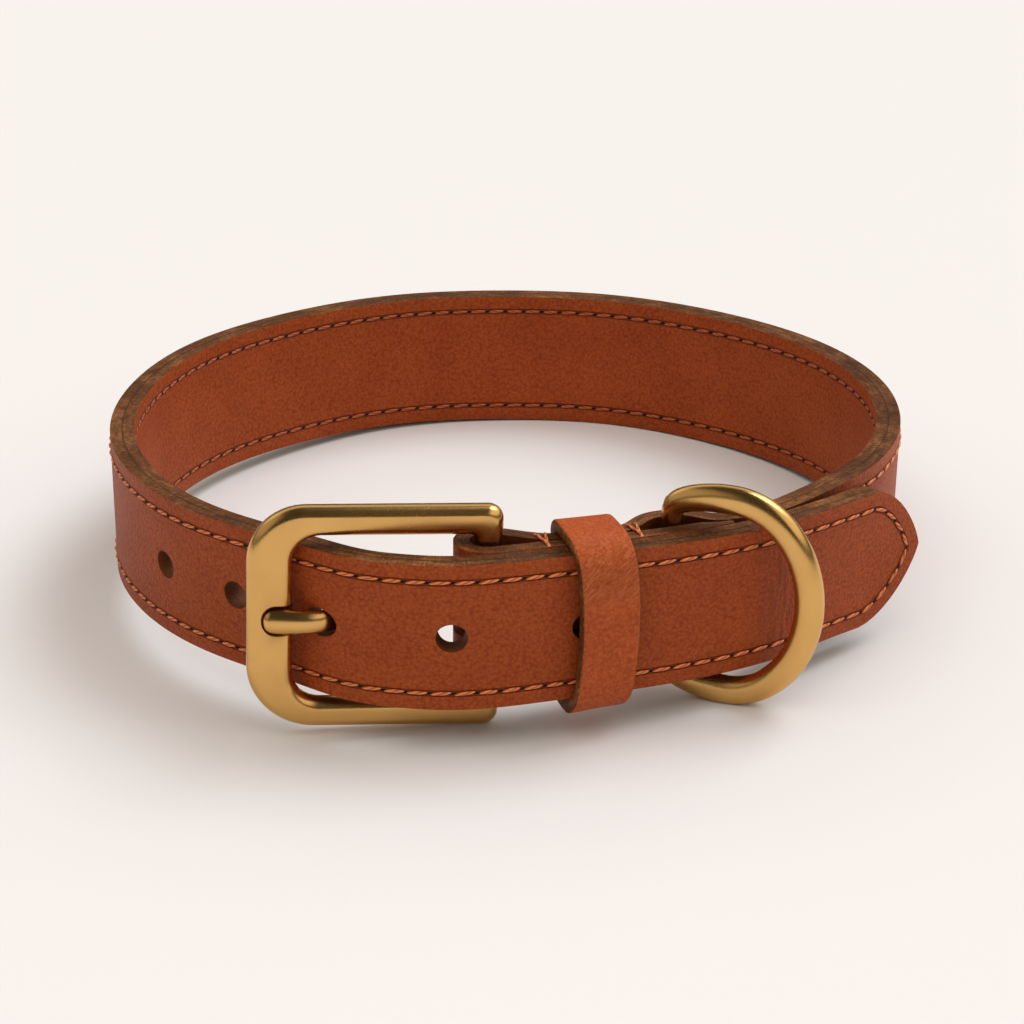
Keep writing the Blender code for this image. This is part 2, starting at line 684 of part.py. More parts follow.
def set_down(holder, feet):
    """Tip the collar until three pieces all stand on z = 0."""
    for _ in range(8):
        bpy.context.view_layer.update()
        first, second, third = [lowest_point(thing) for thing in feet]
        normal = (second - first).cross(third - first).normalized()
        if normal.z < 0.0:
            normal = -normal
        turn = normal.rotation_difference(Vector((0.0, 0.0, 1.0))).to_matrix().to_4x4()
        holder.matrix_world = turn @ holder.matrix_world
    bpy.context.view_layer.update()
    lift = -min(lowest_point(thing).z for thing in feet)
    holder.matrix_world = Matrix.Translation((0.0, 0.0, lift)) @ holder.matrix_world
    bpy.context.view_layer.update()


def shade_round(thing):
    """Shade smoothly across shallow edges."""
    thing.data.shade_smooth()
    thing.data.set_sharp_from_angle(angle=SMOOTH_BELOW)


def main():
    """Build the collar from an empty scene."""
    for thing in list(bpy.data.objects):
        bpy.data.objects.remove(thing, do_unlink=True)
    holder = bpy.data.objects.new("collar", None)
    bpy.context.scene.collection.objects.link(holder)
    tail = tail_course()
    buckle = buckle_matrix(tail)
    strap = make_strap(tail, holder, buckle)
    frame = make_buckle_frame(holder, buckle)
    prong = make_prong(holder, buckle)
    keeper = make_keeper(tail, holder)
    d_ring = make_d_ring(holder, ring_matrix(tail))
    for thing in (strap, frame, prong, keeper, d_ring):
        shade_round(thing)
    set_down(holder, (frame, d_ring, strap))


main()
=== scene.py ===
"""A leather pet collar with brass fittings, as it stands on a table."""
import math

import bmesh
import bpy
import numpy as np
from mathutils import Matrix, Vector


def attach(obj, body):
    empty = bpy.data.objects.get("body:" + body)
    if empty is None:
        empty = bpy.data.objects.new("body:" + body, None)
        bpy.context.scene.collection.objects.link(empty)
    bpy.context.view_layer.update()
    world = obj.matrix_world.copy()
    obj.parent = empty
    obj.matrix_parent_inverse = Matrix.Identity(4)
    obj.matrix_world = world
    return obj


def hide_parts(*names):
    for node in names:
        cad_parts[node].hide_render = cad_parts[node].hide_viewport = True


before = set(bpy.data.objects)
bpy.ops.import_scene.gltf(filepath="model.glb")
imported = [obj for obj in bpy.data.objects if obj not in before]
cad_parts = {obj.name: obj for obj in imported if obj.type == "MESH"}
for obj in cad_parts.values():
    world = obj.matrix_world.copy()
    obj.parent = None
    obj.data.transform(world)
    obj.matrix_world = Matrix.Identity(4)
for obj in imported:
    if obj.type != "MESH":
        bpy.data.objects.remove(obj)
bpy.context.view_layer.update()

bpy.ops.object.select_all(action="DESELECT")
MM = 0.001


# Table and light. The collar stands on a pale, matt table. A large lamp behind it to the right
# throws soft shadows to the front left, a wide cloth overhead and a warm lamp in front fill them,
# and the room is dark above the front, which gives polished brass its dark bands.
def plain_colour(name, colour, roughness):
    """A material of one colour, for what is not part of the collar."""
    material = bpy.data.materials.new(name)
    material.use_nodes = True
    shader = material.node_tree.nodes["Principled BSDF"]
    shader.inputs["Base Color"].default_value = (*colour, 1.0)
    shader.inputs["Roughness"].default_value = roughness
    shader.inputs["Specular IOR Level"].default_value = 0.2
    return material


bpy.ops.mesh.primitive_plane_add(size=6.0, location=(0.0, 0.0, 0.0))
table = bpy.context.object
table.name = "table"
table.data.materials.append(plain_colour("table_card", (0.728, 0.716, 0.712), 0.75))

room = bpy.data.worlds.new("room")
bpy.context.scene.world = room
room.use_nodes = True
room_nodes = room.node_tree.nodes
room_links = room.node_tree.links
room_place = room_nodes.new("ShaderNodeTexCoord")
room_split = room_nodes.new("ShaderNodeSeparateXYZ")
room_links.new(room_place.outputs["Generated"], room_split.inputs[0])


def room_glow(axis, low, high):
    """A mask over the directions of the room that rises along an axis from low to high."""
    node = room_nodes.new("ShaderNodeMapRange")
    node.interpolation_type = "SMOOTHSTEP"
    room_links.new(room_split.outputs[axis], node.inputs["Value"])
    node.inputs["From Min"].default_value = low
    node.inputs["From Max"].default_value = high
    return node.outputs["Result"]


def room_math(operation, first, second):
    """Combine two masks or numbers of the room."""
    node = room_nodes.new("ShaderNodeMath")
    node.operation = operation
    for socket, value in zip(node.inputs, (first, second)):
        if isinstance(value, bpy.types.NodeSocket):
            room_links.new(value, socket)
        else:
            socket.default_value = value
    return node.outputs[0]


BACK_WALL_GLOW = 0.85
LEFT_WALL_GLOW = 0.50
RIGHT_WALL_GLOW = 1.05
ROOM_GLOW = 0.055
ROOM_GREEN = 0.925
ROOM_BLUE = 0.835
back_wall = room_math("MULTIPLY", room_glow("Y", 0.15, 0.60), room_glow("Z", 0.88, 0.66))
back_wall = room_math("MULTIPLY", back_wall, room_glow("Z", 0.30, 0.52))
left_wall = room_math("MULTIPLY", room_glow("X", -0.42, -0.62), room_glow("Z", 0.97, 0.80))
left_wall = room_math("MULTIPLY", left_wall, room_glow("Z", 0.05, 0.30))
right_wall = room_math("MULTIPLY", room_glow("X", 0.30, 0.46), room_glow("Z", 0.16, 0.34))
glow = room_math("ADD", room_math("MULTIPLY", back_wall, BACK_WALL_GLOW), ROOM_GLOW)
glow = room_math("ADD", glow, room_math("MULTIPLY", left_wall, LEFT_WALL_GLOW))
glow = room_math("ADD", glow, room_math("MULTIPLY", right_wall, RIGHT_WALL_GLOW))
room_colour = room_nodes.new("ShaderNodeCombineColor")
room_links.new(glow, room_colour.inputs[0])
room_links.new(room_math("MULTIPLY", glow, ROOM_GREEN), room_colour.inputs[1])
room_links.new(room_math("MULTIPLY", glow, ROOM_BLUE), room_colour.inputs[2])
room_links.new(room_colour.outputs[0], room_nodes["Background"].inputs["Color"])
room_nodes["Background"].inputs["Strength"].default_value = 1.0


def wide_lamp(name, toward, strength, width, seen, colour):
    """A lamp so far off that its light is even; its width is an angle in degrees.

    A lamp that isn't seen gives light, but brass doesn't mirror it.
    """
    light = bpy.data.lights.new(name, "SUN")
    light.energy = strength
    light.angle = math.radians(width)
    light.color = colour
    lamp = bpy.data.objects.new(name, light)
    bpy.context.scene.collection.objects.link(lamp)
    lamp.rotation_euler = Vector(toward).to_track_quat("Z", "Y").to_euler()
    lamp.visible_glossy = seen


wide_lamp("key_lamp", (0.50, 0.30, 0.82), 1.22, 34.0, True, (0.93, 1.0, 1.09))
wide_lamp("cloth_overhead", (0.0, -0.14, 1.0), 1.28, 72.0, False, (1.0, 0.95, 0.905))
wide_lamp("front_fill", (-0.25, -0.80, 0.55), 0.62, 90.0, False, (1.0, 0.84, 0.70))
bpy.context.scene.view_settings.view_transform = "Standard"

camera_data = bpy.data.cameras.new("view")
camera_data.lens = 114.25
camera_data.sensor_width = 36.0
camera_data.clip_start = 0.01
view = bpy.data.objects.new("view", camera_data)
bpy.context.scene.collection.objects.link(view)
LEVEL_CAMERA = Vector((0.83, -531.517, 220.942)) * MM
LEVEL_AHEAD = Vector((0.0, 0.92724, -0.374467))
LEVEL_ABOVE = Vector((0.0, 0.374467, 0.92724))
# The collar is described level and then tipped on to the buckle, the ring and its back edge.
STANCE = Matrix(((0.9998314, -0.0058098, 0.0174193, 0.0),
                 (0.0048368, 0.9984530, 0.0553843, 0.0),
                 (-0.0177142, -0.0552907, 0.9983131, 0.0039463),
                 (0.0, 0.0, 0.0, 1.0)))
across = LEVEL_AHEAD.cross(LEVEL_ABOVE)
level_view = Matrix((across, LEVEL_ABOVE, -LEVEL_AHEAD)).transposed().to_4x4()
view.matrix_world = STANCE @ Matrix.Translation(LEVEL_CAMERA) @ level_view
bpy.context.scene.camera = view


# Strap. One long strap of bridle leather, lined with a second layer and sewn along both edges.
# It is cut, punched and sewn flat on the bench, its thinned end is turned back round the buckle's
# heel bar, and then the whole is closed into a ring.
STRAP_HEIGHT = 25.0 * MM
STRAP_THICKNESS = 4.2 * MM
LOOP_WIDTH = 136.2 * MM
LOOP_DEPTH = 136.7 * MM
TAIL_LENGTH = 81.0 * MM
TIP_LENGTH = 13.0 * MM
TIP_DROOP = 0.6 * MM
TIP_DROOP_RUN = 30.0 * MM
TIP_FULLNESS = 1.75
TIP_BLUNTNESS = 1.3
FOLD_THICKNESS = 2.6 * MM
FOLD_END_THICKNESS = 1.0 * MM
FOLD_LENGTH = 41.0 * MM
FOLD_TAPER = 7.0 * MM
LAYER_GAP = 0.35 * MM
HEEL_POCKET = 5.6 * MM
RING_POCKET = 4.4 * MM
RING_PLACE = 31.8 * MM
RING_BAR_WIDTH = 3.6 * MM
KEEPER_PLACE = 16.7 * MM
KEEPER_WIDTH = 9.7 * MM
KEEPER_CLEARANCE = 0.4 * MM
HOLE_DIAMETER = 4.8 * MM
HOLE_PLACES = (-63.2 * MM, -45.9 * MM, -7.2 * MM, 14.1 * MM)
PRONG_HOLE_PLACE = -28.2 * MM
PRONG_HOLE_STRETCH = 1.3
PRONG_SLOT_HEIGHT = 6.4 * MM
PRONG_SLOT_EXTRA = 11.6 * MM
PRONG_SLOT_RISE = 0.5 * MM
SEAM_INSET = 2.9 * MM
FRONT_ROWS = 16
BEND_ROWS = 9
BACK_ROWS = 35
COURSE = (
    # across, back, lean
    (0.909, 0.338, 4.0),
    (0.955, 0.390, 3.0),
    (1.000, 0.490, 1.0),
    (0.974, 0.644, 0.0),
    (0.850, 0.777, 0.0),
    (0.574, 0.911, 0.0),
    (0.282, 0.982, 0.0),
    (-0.023, 1.000, 0.0),
    (-0.324, 0.979, 0.0),
    (-0.615, 0.900, 0.0),
    (-0.848, 0.779, 0.0),
    (-0.979, 0.621, 0.0),
    (-1.000, 0.433, 0.5),
    (-0.951, 0.335, 1.5),
    (-0.824, 0.217, 3.0),
    (-0.711, 0.155, 3.5),
    (-0.615, 0.116, 3.5),
    (-0.526, 0.083, 3.0),
    (-0.436, 0.049, 2.0),
    (-0.338, 0.019, 2.0),
    (-0.248, 0.006, 2.0),
    (-0.135, 0.000, 2.0),
    (-0.045, 0.005, 2.0),
    (0.086, 0.022, 2.5),
    (0.317, 0.057, 4.0),
    (0.468, 0.086, 5.0),
    (0.668, 0.143, 6.0),
    (0.809, 0.204, 7.0),
    (0.917, 0.254, 6.0),
    (1.025, 0.303, 3.0),
)
PARTING = (
    # along, apart
    (0.60, 0.00),
    (0.68, 0.10),
    (0.76, 0.26),
    (0.84, 0.44),
)


def natural_spline(knots, values, samples):
    """Interpolate with the cubic spline whose ends are straight."""
    gaps = np.diff(knots)
    count = len(knots)
    matrix = np.eye(count)
    right = np.zeros(count)
    for i in range(1, count - 1):
        matrix[i, i - 1:i + 2] = (gaps[i - 1], 2 * (gaps[i - 1] + gaps[i]), gaps[i])
        slopes = (values[i + 1] - values[i]) / gaps[i] - (values[i] - values[i - 1]) / gaps[i - 1]
        right[i] = 6 * slopes
    bends = np.linalg.solve(matrix, right)
    index = np.clip(np.searchsorted(knots, samples) - 1, 0, count - 2)
    span = gaps[index]
    before = (knots[index + 1] - samples) / span
    after = 1.0 - before
    curve = (before ** 3 - before) * bends[index] + (after ** 3 - after) * bends[index + 1]
    return before * values[index] + after * values[index + 1] + curve * span ** 2 / 6


class StrapLine:
    """The strap's middle line, as rows of x, y and how far its top leans along X and Y."""

    def __init__(self, points, step=0.25 * MM):
        rows = np.array(points, dtype=float)
        chords = np.hypot(*np.diff(rows[:, :2], axis=0).T)
        knots = np.concatenate(([0.0], np.cumsum(chords)))
        samples = np.linspace(0.0, knots[-1], int(knots[-1] / step) + 1)
        self.rows = np.column_stack([natural_spline(knots, column, samples) for column in rows.T])
        runs = np.hypot(*np.diff(self.rows[:, :2], axis=0).T)
        self.distances = np.concatenate(([0.0], np.cumsum(runs)))
        self.length = self.distances[-1]
        self.headings = np.gradient(self.rows[:, :2], self.distances, axis=0)

    def read(self, distance):
        """The rows and the unit headings at distances along the line."""
        rows = [np.interp(distance, self.distances, column) for column in self.rows.T]
        ahead = np.array([np.interp(distance, self.distances, c) for c in self.headings.T])
        return np.array(rows), ahead / np.hypot(*ahead)

    def shifted(self, distance, outward):
        """The row of a point that is outward of the line."""
        rows, ahead = self.read(distance)
        return (rows[0] + ahead[1] * outward, rows[1] - ahead[0] * outward, rows[2], rows[3])


def eased(along, stops, values):
    """Go from each value to the next with a smooth start and end."""
    place = np.interp(along, stops, range(len(stops)))
    index = np.minimum(place.astype(int), len(stops) - 2)
    share = place - index
    values = np.asarray(values, dtype=float)
    return values[index] + (values[index + 1] - values[index]) * share * share * (3 - 2 * share)


def front_thickness(along):
    """Thickness of the fold's front layer, pared thin at its end."""
    return eased(along, (FOLD_LENGTH - FOLD_TAPER, FOLD_LENGTH),
                 (FOLD_THICKNESS, FOLD_END_THICKNESS))


def front_layer_offset(along):
    """From the tail's middle to the middle of the fold's front layer."""
    return STRAP_THICKNESS / 2 + LAYER_GAP + front_thickness(along) / 2


def back_thickness(along):
    """Thickness of the strap behind the tail, where the lining begins."""
    return eased(along, (RING_PLACE + RING_BAR_WIDTH, FOLD_LENGTH + FOLD_TAPER),
                 (FOLD_THICKNESS, STRAP_THICKNESS))


def back_layer_offset(along):
    """From the tail's middle to the middle of the strap behind it."""
    if along <= FOLD_LENGTH:
        half = KEEPER_WIDTH / 2 + KEEPER_CLEARANCE
        stops = (0.0, KEEPER_PLACE - half, KEEPER_PLACE + half, RING_PLACE - RING_BAR_WIDTH / 2,
                 RING_PLACE + RING_BAR_WIDTH / 2, FOLD_LENGTH)
        depths = (HEEL_POCKET, LAYER_GAP, LAYER_GAP, RING_POCKET, RING_POCKET, LAYER_GAP)
        layers = front_thickness(along) + eased(along, stops, depths)
    else:
        layers = eased(along, (FOLD_LENGTH, FOLD_LENGTH + FOLD_TAPER),
                       (FOLD_END_THICKNESS + LAYER_GAP, 0.0))
        layers += np.interp(along, [row[0] * TAIL_LENGTH for row in PARTING],
                            [row[1] * STRAP_THICKNESS for row in PARTING])
    return STRAP_THICKNESS / 2 + LAYER_GAP + layers + back_thickness(along) / 2


half_width = (LOOP_WIDTH - STRAP_THICKNESS) / 2
loop_depth = LOOP_DEPTH - STRAP_THICKNESS
spots = np.array([(a * half_width, (b - 0.5) * loop_depth) for a, b, _ in COURSE])
chords = np.concatenate(([spots[1] - spots[0]], spots[2:] - spots[:-2], [spots[-1] - spots[-2]]))
chords /= np.hypot(*chords.T)[:, None]
slopes = np.tan(np.radians([lean for _, _, lean in COURSE]))
tail = StrapLine([(x, y, slope * ahead[1], -slope * ahead[0])
                  for (x, y), ahead, slope in zip(spots, chords, slopes)])
heel = tail.length - TAIL_LENGTH

# The rows of the turned-back end: its front layer, the half turn round the heel bar, and the
# layer behind, with the strap's thickness at each.
fold_rows = []
for along in np.linspace(FOLD_LENGTH, 0.0, FRONT_ROWS):
    fold_rows.append((*tail.shifted(heel + along, -front_layer_offset(along)),
                      front_thickness(along)))
(centre_x, centre_y, lean_x, lean_y), (ahead_x, ahead_y) = tail.read(heel)
bend_radius = (FOLD_THICKNESS + HEEL_POCKET) / 2
bar_offset = front_layer_offset(0.0) + bend_radius
for turn in np.linspace(0.0, math.pi, BEND_ROWS)[1:-1]:
    out = bend_radius * math.cos(turn) - bar_offset
    back = bend_radius * math.sin(turn)
    fold_rows.append((centre_x + ahead_y * out - ahead_x * back,
                      centre_y - ahead_x * out - ahead_y * back, lean_x, lean_y, FOLD_THICKNESS))
parting_end = PARTING[-1][0] * TAIL_LENGTH
for along in np.linspace(0.0, parting_end, BACK_ROWS):
    fold_rows.append((*tail.shifted(heel + along, -back_layer_offset(along)),
                      back_thickness(along)))
guides = np.linspace(0, len(tail.rows) - 1, round(tail.length / (5 * MM))).astype(int)
strap_line = StrapLine([row[:4] for row in fold_rows] + [tuple(row) for row in tail.rows[guides]])
LENGTH = strap_line.length
fold_points = np.array(fold_rows)
fold_runs = np.hypot(*np.diff(fold_points[:, :2], axis=0).T)
fold_places = np.concatenate(([0.0], np.cumsum(fold_runs)))
HEEL = LENGTH - TAIL_LENGTH


def strap_thickness(distance):
    """Thickness of the strap at distances from its turned-back end."""
    return np.interp(distance, fold_places, fold_points[:, 4])


def close_into_ring(points):
    """Take bench points, which are along, up and out of the flat strap, to the closed collar."""
    along, up, out = points.T
    rows, ahead = strap_line.read(along)
    share = strap_thickness(along) / STRAP_THICKNESS
    flat_out = out * np.where(np.abs(out) < STRAP_THICKNESS, share, 1.0)
    droop = eased(LENGTH - along, (0.0, TIP_DROOP_RUN), (TIP_DROOP, 0.0))
    level = np.column_stack((rows[0] + ahead[1] * flat_out + rows[2] * up,
                             rows[1] - ahead[0] * flat_out + rows[3] * up,
                             STRAP_HEIGHT / 2 + up - droop))
    stance = np.array(STANCE)
    return level @ stance[:3, :3].T + stance[:3, 3]


def read_points(mesh):
    """The places of a mesh's vertices, as rows."""
    values = np.empty(3 * len(mesh.vertices))
    mesh.vertices.foreach_get("co", values)
    return values.reshape(-1, 3)


def write_points(mesh, points):
    """Put a mesh's vertices at the given rows."""
    mesh.vertices.foreach_set("co", np.asarray(points, dtype=float).ravel())
    mesh.update()


def keep_values(mesh, name, values):
    """Keep a number or a place for each vertex, which materials then read by its name."""
    values = np.asarray(values, dtype=float)
    if values.ndim == 1:
        mesh.attributes.new(name, "FLOAT", "POINT").data.foreach_set("value", values)
    else:
        kept = mesh.attributes.new(name, "FLOAT_VECTOR", "POINT")
        kept.data.foreach_set("vector", values.ravel())


def vertex_normals(mesh):
    """The normals of a mesh's vertices, as rows."""
    values = np.empty(3 * len(mesh.vertices))
    mesh.vertices.foreach_get("normal", values)
    return values.reshape(-1, 3)


def pick(piece):
    """Select a piece alone and make it the active one."""
    bpy.ops.object.select_all(action="DESELECT")
    piece.select_set(True)
    bpy.context.view_layer.objects.active = piece


def apply_modifier(piece, kind, **settings):
    """Add a modifier with these settings and apply it."""
    pick(piece)
    modifier = piece.modifiers.new(kind.lower(), kind)
    for name, value in settings.items():
        setattr(modifier, name, value)
    bpy.ops.object.modifier_apply(modifier=modifier.name)


def cut_away(piece, cutter):
    """Take a cutter's shape out of a piece."""
    apply_modifier(piece, "BOOLEAN", operation="DIFFERENCE", solver="EXACT", object=cutter)
    bpy.data.objects.remove(cutter)


def settle(piece):
    """Put a finished piece's place, turn and scale into its mesh."""
    pick(piece)
    bpy.ops.object.transform_apply(location=True, rotation=True, scale=True)


def tip_half_height(distance):
    """Half of the strap's height at distances from its turned-back end."""
    short = np.clip((LENGTH - distance) / TIP_LENGTH, 0.0, 1.0)
    return STRAP_HEIGHT / 2 * (1.0 - (1.0 - short) ** TIP_FULLNESS) ** (1.0 / TIP_BLUNTNESS)


outline_places = LENGTH - TIP_LENGTH * (1.0 - np.sin(np.linspace(-0.5, math.pi / 2, 200)))
outline_places = np.concatenate((np.linspace(LENGTH - 60 * MM, LENGTH - TIP_LENGTH * 1.5, 60),
                                 outline_places[outline_places > LENGTH - TIP_LENGTH * 1.5]))
outline_heights = tip_half_height(outline_places)
tip_outline = np.vstack((np.column_stack((outline_places, outline_heights)),
                         np.column_stack((outline_places, -outline_heights))[::-1]))


def inset_of(points):
    """How far bench points lie inside the strap's outline."""
    inset = STRAP_HEIGHT / 2 - np.abs(points[:, 1])
    near = points[:, 0] > LENGTH - 2 * TIP_LENGTH
    starts, ends = tip_outline[:-1], tip_outline[1:]
    runs = ends - starts
    squares = np.maximum((runs ** 2).sum(axis=1), 1e-16)
    for i in np.nonzero(near)[0]:
        spot = points[i, :2]
        share = np.clip(((spot - starts) * runs).sum(axis=1) / squares, 0.0, 1.0)
        gap = np.hypot(*(starts + runs * share[:, None] - spot).T).min()
        inside = abs(spot[1]) <= tip_half_height(spot[0]) + 1e-9
        inset[i] = gap if inside else -gap
    return inset


bpy.ops.mesh.primitive_grid_add(x_subdivisions=470, y_subdivisions=16, size=1.0)
strap = bpy.context.object
strap.name = "leather_strap"
points = read_points(strap.data)
points[:, 0] = (points[:, 0] + 0.5) * LENGTH
points[:, 1] *= STRAP_HEIGHT
tip_start = LENGTH - TIP_LENGTH
in_tip = points[:, 0] > tip_start
turn = (points[in_tip, 0] - tip_start) / TIP_LENGTH * math.pi / 2
points[in_tip, 0] = tip_start + TIP_LENGTH * np.sin(turn)
points[in_tip, 1] *= tip_half_height(points[in_tip, 0]) / (STRAP_HEIGHT / 2)
write_points(strap.data, points)
bpy.ops.object.mode_set(mode="EDIT")
bpy.ops.mesh.select_all(action="SELECT")
bpy.ops.mesh.remove_doubles(threshold=0.01 * MM)
bpy.ops.object.mode_set(mode="OBJECT")
apply_modifier(strap, "SOLIDIFY", thickness=STRAP_THICKNESS, offset=0.0)
apply_modifier(strap, "BEVEL", width=0.75 * MM, segments=3, limit_method="ANGLE",
               angle_limit=math.radians(60.0))
for place in (*HOLE_PLACES, PRONG_HOLE_PLACE):
    bpy.ops.mesh.primitive_cylinder_add(radius=HOLE_DIAMETER / 2, depth=3 * STRAP_THICKNESS,
                                        vertices=40, location=(HEEL + place, 0.0, 0.0))
    if place == PRONG_HOLE_PLACE:
        bpy.context.object.scale.x = PRONG_HOLE_STRETCH
    cut_away(strap, bpy.context.object)
bend_start = fold_places[FRONT_ROWS - 1]
bend_end = fold_places[FRONT_ROWS + BEND_ROWS - 2]
bpy.ops.mesh.primitive_cube_add(size=1.0, location=((bend_start + bend_end) / 2,
                                                    PRONG_SLOT_RISE, 0.0))
bpy.context.object.scale = (bend_end - bend_start + PRONG_SLOT_EXTRA, PRONG_SLOT_HEIGHT,
                            3 * STRAP_THICKNESS)
cut_away(strap, bpy.context.object)
apply_modifier(strap, "BEVEL", width=0.3 * MM, segments=2, limit_method="ANGLE",
               angle_limit=math.radians(50.0))
settle(strap)
bench = read_points(strap.data)
keep_values(strap.data, "bench", bench)
keep_values(strap.data, "rim", 1.0 - np.abs(vertex_normals(strap.data)[:, 2]))
keep_values(strap.data, "inset", inset_of(bench))
write_points(strap.data, close_into_ring(bench))
bpy.ops.object.shade_smooth_by_angle(angle=math.radians(40.0))


def new_material(name):
    """An empty node material with its nodes, its links and its shader."""
    material = bpy.data.materials.new(name)
    material.use_nodes = True
    tree = material.node_tree
    return material, tree.nodes, tree.links, tree.nodes["Principled BSDF"]


def new_group(name, outputs):
    """A shader node group that takes a place and gives the named outputs."""
    group = bpy.data.node_groups.new(name, "ShaderNodeTree")
    group.interface.new_socket("Place", in_out="INPUT", socket_type="NodeSocketVector")
    for label, kind in outputs:
        group.interface.new_socket(label, in_out="OUTPUT", socket_type=kind)
    start = group.nodes.new("NodeGroupInput")
    return group, start.outputs["Place"], group.nodes.new("NodeGroupOutput")


def kept_values(tree, name):
    """The node that reads what is kept for each vertex under a name."""
    node = tree.nodes.new("ShaderNodeAttribute")
    node.attribute_name = name
    return node


def math_node(tree, operation, first, second=None, clamp=False):
    """A Math node whose operands are sockets or numbers."""
    node = tree.nodes.new("ShaderNodeMath")
    node.operation = operation
    node.use_clamp = clamp
    for socket, value in zip(node.inputs, (first, second)):
        if isinstance(value, bpy.types.NodeSocket):
            tree.links.new(value, socket)
        elif value is not None:
            socket.default_value = value
    return node.outputs[0]


def band(tree, value, low, high):
    """A mask that rises smoothly from 0 at low to 1 at high."""
    node = tree.nodes.new("ShaderNodeMapRange")
    node.interpolation_type = "SMOOTHSTEP"
    tree.links.new(value, node.inputs["Value"])
    node.inputs["From Min"].default_value = low
    node.inputs["From Max"].default_value = high
    return node.outputs["Result"]


def mixed(tree, share, first, second):
    """Mix two colours, each a socket or three numbers, by the share that a socket gives."""
    node = tree.nodes.new("ShaderNodeMix")
    node.data_type = "RGBA"
    node.clamp_factor = True
    tree.links.new(share, node.inputs[0])
    for socket, value in ((node.inputs[6], first), (node.inputs[7], second)):
        if isinstance(value, bpy.types.NodeSocket):
            tree.links.new(value, socket)
        else:
            socket.default_value = (*value, 1.0)
    return node.outputs[2]


def noise(tree, coordinates, scale, detail, roughness):
    """The value of a noise of a scale for each metre of the coordinates."""
    node = tree.nodes.new("ShaderNodeTexNoise")
    node.inputs["Scale"].default_value = scale
    node.inputs["Detail"].default_value = detail
    node.inputs["Roughness"].default_value = roughness
    tree.links.new(coordinates, node.inputs["Vector"])
    return node.outputs[0]


def stretched(tree, coordinates, scale):
    """Coordinates stretched by a scale for each axis."""
    node = tree.nodes.new("ShaderNodeMapping")
    node.inputs["Scale"].default_value = scale
    tree.links.new(coordinates, node.inputs["Vector"])
    return node.outputs[0]


def make_grain_group():
    """Full-grain leather: pebbled pores, a fine nap and slow mottling of the dye."""
    group, place, end = new_group("leather_grain", (("Tone", "NodeSocketFloat"),
                                                    ("Height", "NodeSocketFloat")))
    cells = group.nodes.new("ShaderNodeTexVoronoi")
    cells.feature = "SMOOTH_F1"
    cells.inputs["Scale"].default_value = 1700.0
    cells.inputs["Smoothness"].default_value = 0.35
    group.links.new(place, cells.inputs["Vector"])
    nap = noise(group, place, 3800.0, 4.0, 0.65)
    waves = noise(group, place, 1500.0, 3.0, 0.6)
    mottle = noise(group, place, 85.0, 3.0, 0.55)
    pebble = math_node(group, "SUBTRACT", 1.0, cells.outputs["Distance"])
    height = math_node(group, "MULTIPLY", pebble, 0.45)
    height = math_node(group, "ADD", height, math_node(group, "MULTIPLY", nap, 0.35))
    height = math_node(group, "ADD", height, math_node(group, "MULTIPLY", waves, 0.45))
    tone = math_node(group, "MULTIPLY", height, 1.15)
    tone = math_node(group, "ADD", tone, math_node(group, "MULTIPLY", mottle, 0.36))
    tone = math_node(group, "SUBTRACT", tone, 0.70, clamp=True)
    group.links.new(tone, end.inputs["Tone"])
    group.links.new(height, end.inputs["Height"])
    return group


def make_edge_group():
    """A cut edge, dyed dark and rubbed smooth: pale fibres show here and there across it."""
    group, place, end = new_group("rubbed_edge", (("Colour", "NodeSocketColor"),))
    fibres = noise(group, stretched(group, place, (3.2, 0.9, 0.9)), 900.0, 5.0, 0.7)
    drag = noise(group, stretched(group, place, (0.25, 1.0, 1.0)), 1300.0, 3.0, 0.6)
    patches = noise(group, place, 120.0, 3.0, 0.6)
    wear = math_node(group, "ADD", math_node(group, "MULTIPLY", fibres, 0.6),
                     math_node(group, "MULTIPLY", drag, 0.4))
    wear = math_node(group, "ADD", wear, math_node(group, "MULTIPLY", patches, 0.5))
    ramp = group.nodes.new("ShaderNodeValToRGB")
    stops = ramp.color_ramp.elements
    stops[0].position = 0.55
    stops[0].color = (0.030, 0.008, 0.002, 1.0)
    stops[1].position = 0.98
    stops[1].color = (0.290, 0.118, 0.038, 1.0)
    middle = stops.new(0.76)
    middle.color = (0.105, 0.034, 0.007, 1.0)
    group.links.new(wear, ramp.inputs["Fac"])
    group.links.new(ramp.outputs["Color"], end.inputs["Colour"])
    return group


grain_group = make_grain_group()
edge_group = make_edge_group()


